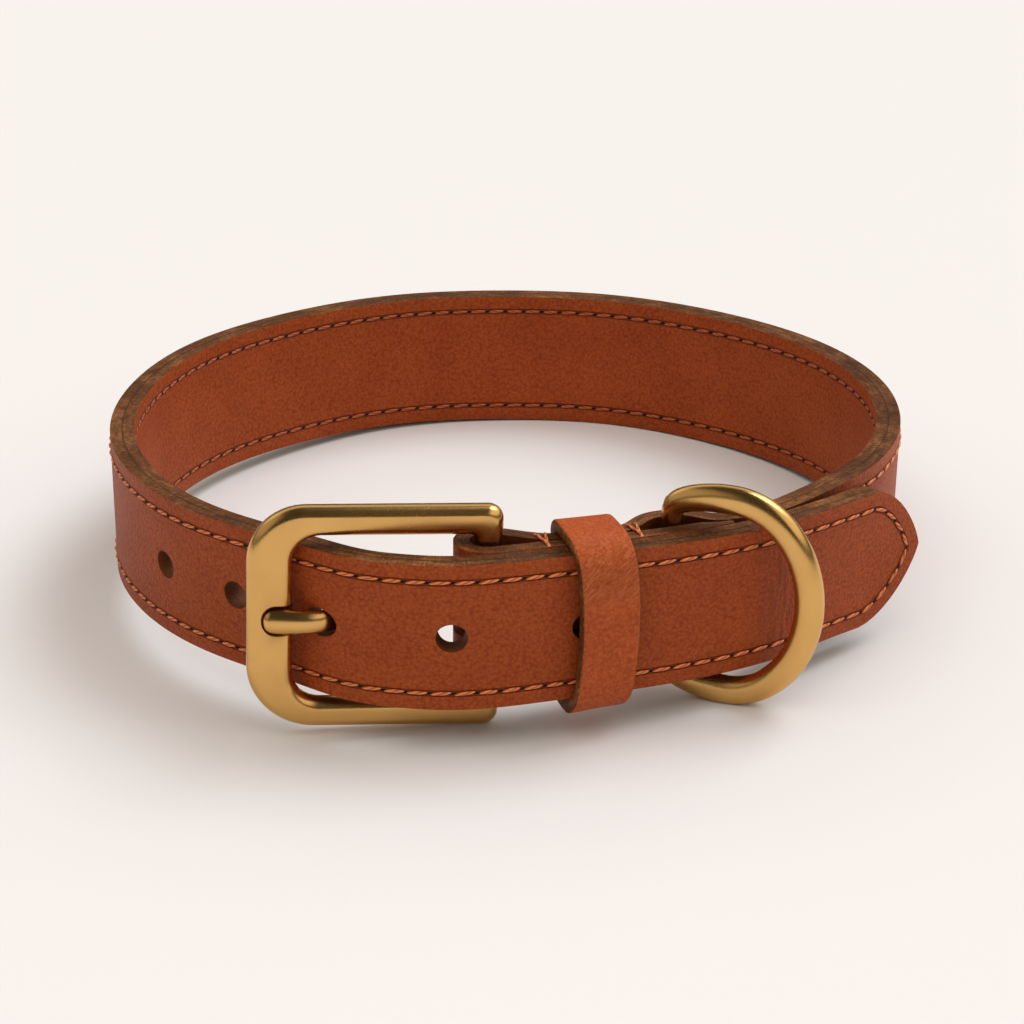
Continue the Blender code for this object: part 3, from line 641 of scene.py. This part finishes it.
def leather_material(name, dark, light, sewn, creases):
    """Bridle leather with rubbed edges; sewn leather also has a groove for its stitches,
    darkened with painted shade, a parting line between its two layers, and painted shade
    inside the fold where it holds the buckle.

    The creases are given as an axis, their middle and reach along it, their turn in degrees,
    the scale and the height of their noise, and the colour painted on them for their light and
    shade.
    """
    material, nodes, links, shader = new_material(name)
    tree = material.node_tree
    bench_place = kept_values(tree, "bench").outputs["Vector"]
    rim = kept_values(tree, "rim").outputs["Fac"]
    grain = nodes.new("ShaderNodeGroup")
    grain.node_tree = grain_group
    links.new(bench_place, grain.inputs["Place"])
    edge = nodes.new("ShaderNodeGroup")
    edge.node_tree = edge_group
    links.new(bench_place, edge.inputs["Place"])
    face = mixed(tree, grain.outputs["Tone"], dark, light)
    height = grain.outputs["Height"]
    split = nodes.new("ShaderNodeSeparateXYZ")
    links.new(bench_place, split.inputs[0])
    if sewn:
        inset = kept_values(tree, "inset").outputs["Fac"]
        off_line = math_node(tree, "ABSOLUTE", math_node(tree, "SUBTRACT", inset, SEAM_INSET))
        groove = math_node(tree, "SUBTRACT", 1.0, band(tree, off_line, 0.30 * MM, 0.62 * MM))
        # Painted shade: the groove along the stitches is darkened in colour, on top of its bump.
        face = mixed(tree, math_node(tree, "MULTIPLY", groove, 0.55), face,
                     tuple(0.35 * value for value in dark))
        height = math_node(tree, "SUBTRACT", height, math_node(tree, "MULTIPLY", groove, 3.0))
    axis, middle, reach, turn, count, depth, painted_crease_colour = creases
    away = math_node(tree, "ABSOLUTE", math_node(tree, "SUBTRACT", split.outputs[axis], middle))
    near = math_node(tree, "SUBTRACT", 1.0, band(tree, away, 0.25 * reach, reach))
    turned = nodes.new("ShaderNodeMapping")
    turned.inputs["Rotation"].default_value = (0.0, 0.0, math.radians(turn))
    links.new(bench_place, turned.inputs["Vector"])
    folds = noise(tree, stretched(tree, turned.outputs[0], (1.0, 0.20, 0.6)), count, 4.0, 0.6)
    folds = math_node(tree, "MULTIPLY", band(tree, folds, 0.35, 0.65), near)
    height = math_node(tree, "ADD", height, math_node(tree, "MULTIPLY", folds, depth))
    # Painted light and shade on the creases: a set colour is mixed in along them.
    face = mixed(tree, math_node(tree, "MULTIPLY", folds, 0.55), face, painted_crease_colour)
    rim_mask = band(tree, rim, 0.45, 0.75)
    edge_colour = edge.outputs["Colour"]
    if sewn:
        # Painted shade: the grain side inside the fold, between its layers, is darkened where
        # shade falls.
        parted = band(tree, split.outputs["X"], PARTED_TO - 9 * MM, PARTED_TO + 2 * MM)
        outside = band(tree, split.outputs["Z"], 0.2 * MM, 0.6 * MM)
        painted_fold_shade = math_node(tree, "MULTIPLY", math_node(tree, "SUBTRACT", 1.0, parted), outside)
        face = mixed(tree, math_node(tree, "MULTIPLY", painted_fold_shade, 0.80), face, (0.030, 0.010, 0.004))
        middle_line = math_node(tree, "ABSOLUTE", split.outputs["Z"])
        parting = math_node(tree, "SUBTRACT", 1.0, band(tree, middle_line, 0.05 * MM, 0.22 * MM))
        edge_colour = mixed(tree, math_node(tree, "MULTIPLY", parting, 0.75), edge_colour,
                            (0.022, 0.010, 0.005))
        deep = band(tree, inset, 4.0 * MM, 6.0 * MM)
        edge_colour = mixed(tree, deep, edge_colour, (0.120, 0.036, 0.010))
    colour = mixed(tree, rim_mask, face, edge_colour)
    links.new(colour, shader.inputs["Base Color"])
    rough = math_node(tree, "ADD", math_node(tree, "MULTIPLY", grain.outputs["Tone"], -0.14), 0.56)
    rough = math_node(tree, "ADD", rough, math_node(tree, "MULTIPLY", rim_mask, 0.10))
    links.new(rough, shader.inputs["Roughness"])
    shader.inputs["Specular IOR Level"].default_value = 0.17
    bump = nodes.new("ShaderNodeBump")
    bump.inputs["Strength"].default_value = 1.0
    bump.inputs["Distance"].default_value = 0.15 * MM
    links.new(height, bump.inputs["Height"])
    links.new(bump.outputs["Normal"], shader.inputs["Normal"])
    return material


PARTED_TO = fold_places[-1]
LEATHER_DARK = (0.228, 0.035, 0.0045)
LEATHER_LIGHT = (0.545, 0.118, 0.022)
# The tail's creases are darkened with painted shade.
TAIL_CREASES = ("X", HEEL + 49 * MM, 6 * MM, 0.0, 750.0, 1.6, (0.20, 0.040, 0.010))
strap.data.materials.append(leather_material("strap_leather", LEATHER_DARK, LEATHER_LIGHT, True,
                                             TAIL_CREASES))
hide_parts("strap")
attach(strap, "collar")


# Saddle stitching. Waxed, twisted thread goes round the strap a little inside its edge and shows
# on both faces as short, slanting stitches that dive into awl holes. Those of the lining lie
# deeper and are coloured darker.
STITCH_PITCH = 3.58 * MM
STITCH_LENGTH = 3.10 * MM
THREAD_WIDTH = 0.64 * MM
THREAD_HEIGHT = 0.62 * MM
LINING_THREAD_WIDTH = 0.62 * MM
LINING_THREAD_HEIGHT = 0.30 * MM
STITCH_SLANT = math.radians(5.0)
SEAM_START = 43 * MM

sewn_from = bend_end + SEAM_START
tip_places = np.sin(np.linspace(0.0, math.pi / 2, 60))
tip_places = LENGTH - SEAM_INSET - 1.4 * TIP_LENGTH * (1.0 - tip_places)
tip_heights = []
for place in tip_places:
    low, high = 0.0, STRAP_HEIGHT / 2
    for _ in range(24):
        middle = (low + high) / 2
        if inset_of(np.array([[place, middle, 0.0]]))[0] > SEAM_INSET:
            low = middle
        else:
            high = middle
    tip_heights.append(low)
keep = np.array(tip_heights) > 0.2 * MM
tip_run = np.column_stack((tip_places, tip_heights))[keep]
straight = STRAP_HEIGHT / 2 - SEAM_INSET
seam_path = np.vstack(([(sewn_from, -straight)], tip_run * (1, -1), tip_run[::-1],
                       [(sewn_from, straight)]))
seam_runs = np.hypot(*np.diff(seam_path, axis=0).T)
seam_places = np.concatenate(([0.0], np.cumsum(seam_runs)))
stitch_count = round(seam_places[-1] / STITCH_PITCH)


def along_seam(distance):
    """The place and the direction of the seam at a distance along it."""
    spot = [np.interp(distance, seam_places, column) for column in seam_path.T]
    before = [np.interp(distance - 1.2 * MM, seam_places, column) for column in seam_path.T]
    after = [np.interp(distance + 1.2 * MM, seam_places, column) for column in seam_path.T]
    return spot, math.atan2(after[1] - before[1], after[0] - before[0])


def sew_on(name, model, sides, shift, lift, material):
    """Repeat a small shape along the seam on one or both faces, and close it with the strap."""
    shape = read_points(model.data)
    faces = [tuple(face.vertices) for face in model.data.polygons]
    rest = []
    bench_points = []
    all_faces = []
    rng = np.random.default_rng(7)
    for side in sides:
        for number in range(stitch_count):
            spot, heading = along_seam((number + shift) * seam_places[-1] / stitch_count)
            heading += STITCH_SLANT * side + rng.normal(0.0, 0.03)
            size = 1.0 + rng.normal(0.0, 0.035)
            x = shape[:, 0] * size
            y = shape[:, 1] * (2.0 - size)
            first = len(bench_points) * len(shape)
            bench_points.append(np.column_stack((
                spot[0] + x * math.cos(heading) - y * math.sin(heading),
                spot[1] + x * math.sin(heading) + y * math.cos(heading),
                side * (STRAP_THICKNESS / 2 + lift + shape[:, 2]))))
            rest.append(shape + (0.0, 0.0, number * MM))
            turned = faces if side > 0 else [face[::-1] for face in faces]
            all_faces.extend(tuple(first + i for i in face) for face in turned)
    mesh = bpy.data.meshes.new(name)
    mesh.from_pydata(close_into_ring(np.vstack(bench_points)).tolist(), [], all_faces)
    keep_values(mesh, "thread", np.vstack(rest))
    mesh.materials.append(material)
    mesh.shade_smooth()
    piece = bpy.data.objects.new(name, mesh)
    bpy.context.scene.collection.objects.link(piece)
    bpy.data.objects.remove(model)
    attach(piece, "collar")


def thread_material(name, dark, light):
    """Waxed thread of two plies, whose twist shows as slanting lines."""
    material, nodes, links, shader = new_material(name)
    tree = material.node_tree
    place = kept_values(tree, "thread").outputs["Vector"]
    turned = nodes.new("ShaderNodeMapping")
    turned.inputs["Rotation"].default_value = (0.0, 0.0, math.radians(72.0))
    links.new(place, turned.inputs["Vector"])
    plies = nodes.new("ShaderNodeTexWave")
    plies.inputs["Scale"].default_value = 560.0
    plies.inputs["Distortion"].default_value = 2.0
    plies.inputs["Detail"].default_value = 2.0
    links.new(turned.outputs[0], plies.inputs["Vector"])
    fuzz = noise(tree, place, 2500.0, 3.0, 0.6)
    tone = math_node(tree, "MULTIPLY", plies.outputs["Fac"], math_node(tree, "ADD", fuzz, 0.45))
    ramp = nodes.new("ShaderNodeValToRGB")
    ramp.color_ramp.elements[0].color = (*dark, 1.0)
    ramp.color_ramp.elements[1].color = (*light, 1.0)
    links.new(tone, ramp.inputs["Fac"])
    links.new(ramp.outputs["Color"], shader.inputs["Base Color"])
    shader.inputs["Roughness"].default_value = 0.55
    bump = nodes.new("ShaderNodeBump")
    bump.inputs["Strength"].default_value = 0.4
    bump.inputs["Distance"].default_value = 0.12 * MM
    links.new(plies.outputs["Fac"], bump.inputs["Height"])
    links.new(bump.outputs["Normal"], shader.inputs["Normal"])
    return material


def small_lens(length, width, height, rings):
    """A small round shape of a length, width and height, to be repeated."""
    bpy.ops.mesh.primitive_uv_sphere_add(segments=8, ring_count=rings, radius=0.5)
    lens = bpy.context.object
    lens.rotation_euler.y = math.pi / 2
    settle(lens)
    lens.scale = (length, width, height)
    settle(lens)
    return lens


waxed_thread = thread_material("waxed_thread", (0.36, 0.075, 0.018), (0.76, 0.24, 0.076))
sew_on("saddle_stitches", small_lens(STITCH_LENGTH, THREAD_WIDTH, THREAD_HEIGHT, 8), (1.0,), 0.5,
       0.04 * MM, waxed_thread)
sew_on("lining_stitches", small_lens(STITCH_LENGTH, LINING_THREAD_WIDTH, LINING_THREAD_HEIGHT, 8),
       (-1.0,), 0.5, 0.0,
       thread_material("lining_thread", (0.24, 0.045, 0.011), (0.46, 0.115, 0.032)))
# Painted shade: flat dark lenses at the awl holes between the stitches, on both faces, stand in
# for the shade inside the holes.
sew_on("awl_hole_shade", small_lens(1.35 * MM, 0.50 * MM, 0.14 * MM, 4), (1.0, -1.0), 0.0, 0.0,
       plain_colour("awl_hole_painted_shade", (0.014, 0.005, 0.002), 0.9))


# Keeper. A band of the same leather, closed into a loop round the tail and both layers of the
# fold. It stands off the strap at its left edge and bows towards the tip at half its height.
KEEPER_THICKNESS = 2.4 * MM
KEEPER_HEADROOM = 0.6 * MM
KEEPER_CORNER = 5.4 * MM
KEEPER_BOW = 1.0 * MM
KEEPER_STANDS_OFF = 0.8 * MM
inner_out = STRAP_THICKNESS / 2 + KEEPER_CLEARANCE
inner_back = -(STRAP_THICKNESS / 2 + 2 * (LAYER_GAP + FOLD_THICKNESS) + KEEPER_CLEARANCE)
inner_half = STRAP_HEIGHT / 2 + KEEPER_HEADROOM
bpy.ops.mesh.primitive_cube_add(size=1.0, location=(0.0, 0.0, (inner_out + inner_back) / 2))
keeper = bpy.context.object
keeper.name = "leather_keeper"
keeper.scale = (KEEPER_WIDTH, 2 * inner_half, inner_out - inner_back)
settle(keeper)


def select_by(mesh_object, test, kind):
    """In edit mode, select only the faces or edges that a test picks."""
    bpy.ops.mesh.select_all(action="DESELECT")
    shape = bmesh.from_edit_mesh(mesh_object.data)
    shape.normal_update()
    for item in (shape.faces if kind == "FACE" else shape.edges):
        if test(item):
            item.select_set(True)
    bmesh.update_edit_mesh(mesh_object.data)


bpy.ops.object.mode_set(mode="EDIT")
bpy.ops.mesh.select_mode(type="FACE")
select_by(keeper, lambda face: abs(face.normal.x) > 0.9, "FACE")
bpy.ops.mesh.delete(type="FACE")
bpy.ops.mesh.select_mode(type="EDGE")
select_by(keeper, lambda edge: abs((edge.verts[0].co - edge.verts[1].co).normalized().x) > 0.9,
          "EDGE")
bpy.ops.mesh.bevel(offset=KEEPER_CORNER - KEEPER_THICKNESS, segments=7, affect="EDGES")
for height in np.linspace(-0.8, 0.8, 13) * inner_half:
    bpy.ops.mesh.select_all(action="SELECT")
    bpy.ops.mesh.bisect(plane_co=(0.0, height, 0.0), plane_no=(0.0, 1.0, 0.0))
for place in np.linspace(-0.375, 0.375, 7) * KEEPER_WIDTH:
    bpy.ops.mesh.select_all(action="SELECT")
    bpy.ops.mesh.bisect(plane_co=(place, 0.0, 0.0), plane_no=(1.0, 0.0, 0.0))
bpy.ops.object.mode_set(mode="OBJECT")
apply_modifier(keeper, "SOLIDIFY", thickness=KEEPER_THICKNESS, offset=1.0, use_even_offset=True)
apply_modifier(keeper, "BEVEL", width=0.5 * MM, segments=3, limit_method="ANGLE",
               angle_limit=math.radians(60.0))
points = read_points(keeper.data)
keep_values(keeper.data, "rim", np.abs(vertex_normals(keeper.data)[:, 0]))
keep_values(keeper.data, "bench", points + (0.3, 0.0, 0.0))
bow = KEEPER_BOW * (1.0 - (points[:, 1] / inner_half) ** 2) - KEEPER_BOW / 2
standing_off = np.clip(-points[:, 0] / KEEPER_WIDTH + 0.5, 0.0, 1.0) ** 2
points[:, 2] += np.where(points[:, 2] > 0.0, KEEPER_STANDS_OFF * standing_off, 0.0)
points[:, 0] += HEEL + KEEPER_PLACE + bow
write_points(keeper.data, close_into_ring(points))
pick(keeper)
bpy.ops.object.shade_smooth_by_angle(angle=math.radians(50.0))
# The keeper's creases in its upper part are lightened with a painted sheen.
KEEPER_CREASES = ("Y", 9.5 * MM, 7.0 * MM, 52.0, 2600.0, 1.3, (0.62, 0.165, 0.050))
keeper.data.materials.append(leather_material("keeper_leather", (0.290, 0.048, 0.008),
                                              (0.620, 0.140, 0.034), False, KEEPER_CREASES))
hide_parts("keeper")
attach(keeper, "collar")


# Ties. The fold is held on both sides of the keeper by two crossed turns of the same thread,
# which lie over the top edges of its layers and are pulled down between them.
TIE_WIDTH = 0.50 * MM
TIE_SPREAD = 1.5 * MM
TIE_PLACES = (KEEPER_PLACE - KEEPER_WIDTH / 2 - 3.1 * MM,
              KEEPER_PLACE + KEEPER_WIDTH / 2 + 2.6 * MM)
TIE_SLACK = 0.8 * MM
TIE_DEPTH = 0.9 * MM
TIE_RISE = 1.12 * MM
tie_layers = 2 * (FOLD_THICKNESS + LAYER_GAP)


def round_bar(name, rings, sides):
    """A bar of unit length along X and of radius 1, cut into rings, to be drawn along a path."""
    bpy.ops.mesh.primitive_cylinder_add(vertices=sides, radius=1.0, depth=1.0,
                                        end_fill_type="TRIFAN")
    bar = bpy.context.object
    bar.name = name
    bar.rotation_euler.y = math.pi / 2
    settle(bar)
    bpy.ops.object.mode_set(mode="EDIT")
    for cut in np.linspace(-0.5, 0.5, rings)[1:-1]:
        bpy.ops.mesh.select_all(action="SELECT")
        bpy.ops.mesh.bisect(plane_co=(cut, 0.0, 0.0), plane_no=(1.0, 0.0, 0.0))
    bpy.ops.object.mode_set(mode="OBJECT")
    return bar


def face_outward():
    """Turn all faces of the active piece outward."""
    bpy.ops.object.mode_set(mode="EDIT")
    bpy.ops.mesh.select_all(action="SELECT")
    bpy.ops.mesh.normals_make_consistent(inside=False)
    bpy.ops.object.mode_set(mode="OBJECT")


ties = []
for place in TIE_PLACES:
    for lean in (-0.5, 0.5):
        tie = round_bar("tie", 16, 8)
        points = read_points(tie.data)
        keep_values(tie.data, "thread", points * (tie_layers, TIE_WIDTH / 2, TIE_WIDTH / 2))
        share = points[:, 0] + 0.5
        crown = 1.0 - np.abs(2 * share - 1.0) ** 6
        out = -STRAP_THICKNESS / 2 - 0.1 * MM - share * (tie_layers + TIE_SLACK)
        up = STRAP_HEIGHT / 2 - TIE_DEPTH + TIE_RISE * crown
        along = HEEL + place + TIE_SPREAD * (0.25 - lean * (share * 1.6 - 0.3))
        write_points(tie.data, close_into_ring(np.column_stack((
            along + points[:, 1] * TIE_WIDTH / 2, up + points[:, 2] * TIE_WIDTH / 2, out))))
        ties.append(tie)
bpy.ops.object.select_all(action="DESELECT")
for tie in ties:
    tie.select_set(True)
bpy.context.view_layer.objects.active = ties[0]
bpy.ops.object.join()
ties[0].name = "fold_ties"
face_outward()
bpy.ops.object.shade_smooth()
ties[0].data.materials.append(waxed_thread)
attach(ties[0], "collar")


# Buckle frame. Solid brass, cast as one piece: a broad front bar with a notch for the prong, two
# arms and the round heel bar that the strap's end is folded over. It is polished to a satin.
FRAME_LENGTH = 40.4 * MM
FRAME_HEIGHT = 38.4 * MM
FRAME_THICKNESS = 3.8 * MM
FRONT_BAR_WIDTH = 7.3 * MM
ARM_WIDTH = 4.9 * MM
HEEL_BAR_WIDTH = 4.4 * MM
FRONT_CORNER = 9.4 * MM
LOWER_CORNER = 11.0 * MM
WINDOW_CORNER = 4.5 * MM
HEEL_CORNER = 2.4 * MM
NOTCH_LENGTH = 4.9 * MM
NOTCH_HEIGHT = 5.0 * MM
NOTCH_DEPTH = 1.7 * MM
NOTCH_CORNER = 2.3 * MM
FRAME_ROUNDING = 1.75 * MM
CORNER_STEPS = 16
SECTION_STEPS = 9
BUCKLE_STANCE = STANCE @ Matrix(((-0.9950922, -0.0328692, 0.0933331, -0.0032235),
                                 (-0.0944059, 0.0327560, -0.9949947, -0.0576196),
                                 (0.0296474, -0.9989228, -0.0356983, 0.0120000),
                                 (0.0, 0.0, 0.0, 1.0)))


def corner_points(left, right, half_height, radii, steps):
    """Points of a rectangle with round corners: right low, right high, left high, left low."""
    centres = ((right, -half_height, -1, 1), (right, half_height, -1, -1),
               (left, half_height, 1, -1), (left, -half_height, 1, 1))
    points = []
    for corner, ((x, y, to_x, to_y), radius) in enumerate(zip(centres, radii)):
        for step in range(steps):
            turn = math.pi / 2 * (corner - 1 + step / (steps - 1))
            points.append((x + radius * (to_x + math.cos(turn)),
                           y + radius * (to_y + math.sin(turn))))
    return np.array(points)


frame_back = -HEEL_BAR_WIDTH / 2
frame_front = frame_back + FRAME_LENGTH
window_edge = frame_front - FRONT_BAR_WIDTH
outer = corner_points(frame_back, frame_front, FRAME_HEIGHT / 2,
                      (FRONT_CORNER, LOWER_CORNER, HEEL_CORNER, HEEL_CORNER), CORNER_STEPS)
inner = corner_points(frame_back + HEEL_BAR_WIDTH, window_edge, FRAME_HEIGHT / 2 - ARM_WIDTH,
                      (WINDOW_CORNER, WINDOW_CORNER, 1.0 * MM, 1.0 * MM), CORNER_STEPS)
bpy.ops.mesh.primitive_torus_add(major_segments=4 * CORNER_STEPS, minor_segments=4 * SECTION_STEPS)
buckle_frame = bpy.context.object
buckle_frame.name = "brass_frame"
middles = (outer + inner) / 2
halves = np.hypot(*(outer - inner).T) / 2
outward = (outer - inner) / (2 * halves[:, None])
section = []
for corner, (to_out, to_face) in enumerate(((1, 1), (-1, 1), (-1, -1), (1, -1))):
    for step in range(SECTION_STEPS):
        turn = math.pi / 2 * (corner + step / (SECTION_STEPS - 1))
        section.append((to_out, FRAME_ROUNDING * (math.cos(turn) - to_out),
                        to_face * (FRAME_THICKNESS / 2 - FRAME_ROUNDING)
                        + FRAME_ROUNDING * math.sin(turn)))
points = []
for middle, half, (out_x, out_y) in zip(middles, halves, outward):
    for side, shift, face in section:
        reach = side * half + shift
        points.append((middle[0] + out_x * reach, middle[1] + out_y * reach, face))
write_points(buckle_frame.data, points)
face_outward()
bpy.ops.mesh.primitive_plane_add(size=1.0, location=(window_edge, 0.0,
                                                     FRAME_THICKNESS / 2 - NOTCH_DEPTH))
notch = bpy.context.object
notch.scale = (2 * NOTCH_LENGTH, NOTCH_HEIGHT, 1.0)
settle(notch)
bpy.ops.object.mode_set(mode="EDIT")
bpy.ops.mesh.select_all(action="SELECT")
bpy.ops.mesh.bevel(offset=NOTCH_CORNER, segments=12, affect="VERTICES")
bpy.ops.mesh.select_all(action="SELECT")
bpy.ops.mesh.extrude_region_move(
    TRANSFORM_OT_translate={"value": (0.0, 0.0, 2 * FRAME_THICKNESS)})
bpy.ops.object.mode_set(mode="OBJECT")
face_outward()
cut_away(buckle_frame, notch)
apply_modifier(buckle_frame, "BEVEL", width=0.22 * MM, segments=2, limit_method="ANGLE",
               angle_limit=math.radians(42.0))


def brass_material(name):
    """Solid brass, polished to a satin: a fine grain and a slow change of tone and gloss."""
    material, nodes, links, shader = new_material(name)
    tree = material.node_tree
    place = nodes.new("ShaderNodeTexCoord").outputs["Object"]
    fine = noise(tree, place, 5200.0, 4.0, 0.7)
    slow = noise(tree, place, 160.0, 3.0, 0.5)
    colour = mixed(tree, fine, (0.64, 0.360, 0.108), (0.80, 0.488, 0.172))
    colour = mixed(tree, math_node(tree, "MULTIPLY", slow, 0.55), colour, (0.54, 0.30, 0.090))
    links.new(colour, shader.inputs["Base Color"])
    shader.inputs["Metallic"].default_value = 1.0
    rough = math_node(tree, "ADD", math_node(tree, "MULTIPLY", slow, 0.12), 0.14)
    rough = math_node(tree, "ADD", rough, math_node(tree, "MULTIPLY", fine, 0.10))
    links.new(rough, shader.inputs["Roughness"])
    bump = nodes.new("ShaderNodeBump")
    bump.inputs["Strength"].default_value = 0.28
    bump.inputs["Distance"].default_value = 0.03 * MM
    links.new(fine, bump.inputs["Height"])
    links.new(bump.outputs["Normal"], shader.inputs["Normal"])
    return material


def finish_brass(piece, stance, material, node, body):
    """Put a brass piece in its place, and let it stand for its CAD node."""
    piece.data.transform(stance)
    pick(piece)
    bpy.ops.object.shade_smooth_by_angle(angle=math.radians(35.0))
    piece.data.materials.append(material)
    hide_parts(node)
    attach(piece, body)


brass = brass_material("satin_brass")
finish_brass(buckle_frame, BUCKLE_STANCE, brass, "buckle_frame", "collar")


# Prong. A brass bar whose eye turns on the heel bar. It runs behind the tail, comes out through
# a hole, and its rounded end lies in the notch of the front bar.
PRONG_PATH = (
    # along, out, half width, half thickness, in millimetres
    (3.3, 0.00, 1.30, 0.85),
    (9.3, -1.14, 1.90, 0.90),
    (17.9, -1.14, 2.20, 0.98),
    (20.7, -1.08, 2.28, 0.95),
    (22.6, -0.85, 2.30, 0.92),
    (23.7, -0.30, 2.30, 0.92),
    (24.6, 0.65, 2.20, 0.95),
    (25.5, 1.55, 1.90, 1.02),
    (26.6, 2.02, 1.84, 1.12),
    (28.2, 2.20, 1.96, 1.24),
    (30.2, 2.14, 2.06, 1.32),
    (32.2, 1.96, 2.10, 1.32),
    (33.6, 1.84, 2.08, 1.28),
    (34.5, 1.78, 1.94, 1.20),
    (35.1, 1.75, 1.56, 1.02),
    (35.4, 1.74, 1.05, 0.72),
    (35.55, 1.72, 0.40, 0.30),
)
PRONG_EYE_RADIUS = 3.3 * MM
PRONG_EYE_THICKNESS = 1.44 * MM
PRONG_EYE_WIDTH = 4.8 * MM
prong_points = np.array(PRONG_PATH) * MM
prong = round_bar("brass_prong", 42, 24)
points = read_points(prong.data)
prong_runs = np.hypot(*np.diff(prong_points[:, :2], axis=0).T)
prong_runs = np.concatenate(([0.0], np.cumsum(prong_runs)))
share = 1.0 - np.clip(0.5 - points[:, 0], 0.0, 1.0) ** 1.5
distance = share * prong_runs[-1]
spine = [np.interp(distance, prong_runs, column) for column in prong_points.T]
slope = [np.interp(distance + d * MM, prong_runs, prong_points[:, 1]) for d in (-0.8, 0.8)]
reach = [np.interp(distance + d * MM, prong_runs, prong_points[:, 0]) for d in (-0.8, 0.8)]
rise = np.arctan2(slope[1] - slope[0], reach[1] - reach[0])
wide = points[:, 1] * spine[2]
thick = points[:, 2] * spine[3]
write_points(prong.data, np.column_stack((spine[0] - thick * np.sin(rise), wide,
                                          spine[1] + thick * np.cos(rise))))
bpy.ops.mesh.primitive_torus_add(major_radius=PRONG_EYE_RADIUS, major_segments=48,
                                 minor_radius=PRONG_EYE_THICKNESS / 2, minor_segments=16,
                                 rotation=(math.pi / 2, 0.0, 0.0))
prong_eye = bpy.context.object
settle(prong_eye)
points = read_points(prong_eye.data)
points[:, 1] *= PRONG_EYE_WIDTH / PRONG_EYE_THICKNESS
write_points(prong_eye.data, points)
apply_modifier(prong, "BOOLEAN", operation="UNION", solver="EXACT", object=prong_eye)
bpy.data.objects.remove(prong_eye)
finish_brass(prong, BUCKLE_STANCE, brass, "prong", "collar")


# D-ring. Solid brass with a straight round bar, which turns in the fold behind the keeper, and
# a flattened bow that goes round the tail and takes the clip of a lead.
RING_REACH = 26.0 * MM
RING_HEIGHT = 38.9 * MM
RING_CROWN = 13.2 * MM
RING_CORNER = 3.4 * MM
RING_WIDTH = 4.8 * MM
RING_THICKNESS = 3.6 * MM
RING_STANCE = STANCE @ Matrix(((0.9392610, 0.0350597, -0.3414082, 0.0260671),
                               (-0.3381066, -0.0762820, -0.9380112, -0.0491377),
                               (-0.0589297, 0.9964696, -0.0597948, 0.0135961),
                               (0.0, 0.0, 0.0, 1.0)))
crown = RING_REACH - RING_WIDTH / 2
ring_half = (RING_HEIGHT - RING_WIDTH) / 2
shoulder = crown - RING_CROWN
corner = ring_half - RING_CORNER
# The ring's middle line, as rows of out, up and how far its bar has widened into the bow.
ring_line = [(0.0, corner * (1 - 2 * step / 20), 0.0) for step in range(20)]
for turn in np.linspace(0.0, math.pi / 2, 16)[:-1]:
    ring_line.append((shoulder * (1 - math.cos(turn)), -corner - RING_CORNER * math.sin(turn),
                      min(1.0, 1.2 * turn / (math.pi / 2))))
for turn in np.linspace(0.0, math.pi, 60)[:-1]:
    ring_line.append((shoulder + RING_CROWN * math.sin(turn), -ring_half * math.cos(turn), 1.0))
for turn in np.linspace(math.pi / 2, 0.0, 16)[:-1]:
    ring_line.append((shoulder * (1 - math.cos(turn)), corner + RING_CORNER * math.sin(turn),
                      min(1.0, 1.2 * turn / (math.pi / 2))))
ring_line = np.array(ring_line + ring_line[:1])
ring_runs = np.concatenate(([0.0], np.cumsum(np.hypot(*np.diff(ring_line[:, :2], axis=0).T))))
TORUS_SECTION = 0.25
bpy.ops.mesh.primitive_torus_add(major_radius=1.0, minor_radius=TORUS_SECTION,
                                 major_segments=128, minor_segments=28)
ring = bpy.context.object
ring.name = "brass_d_ring"
points = read_points(ring.data)
turns = np.arctan2(points[:, 1], points[:, 0]) % (2 * math.pi)
distance = turns / (2 * math.pi) * ring_runs[-1]
out = (np.hypot(points[:, 0], points[:, 1]) - 1.0) / TORUS_SECTION
face = points[:, 2] / TORUS_SECTION
spine = [np.interp(distance, ring_runs, column) for column in ring_line.T]
ahead = []
for column in ring_line.T[:2]:
    after = np.interp((distance + 0.5 * MM) % ring_runs[-1], ring_runs, column)
    before = np.interp((distance - 0.5 * MM) % ring_runs[-1], ring_runs, column)
    ahead.append(after - before)
ahead = np.array(ahead) / np.hypot(*ahead)
wide = (RING_BAR_WIDTH + (RING_WIDTH - RING_BAR_WIDTH) * spine[2]) / 2
squareness = 1.0 - 0.14 * spine[2]
flat_out = np.sign(out) * np.abs(out) ** squareness
flat_face = np.sign(face) * np.abs(face) ** squareness
write_points(ring.data, np.column_stack((spine[0] + ahead[1] * flat_out * wide,
                                         spine[1] - ahead[0] * flat_out * wide,
                                         flat_face * RING_THICKNESS / 2)))
face_outward()
finish_brass(ring, RING_STANCE, brass_material("ring_brass"), "d_ring", "ring")
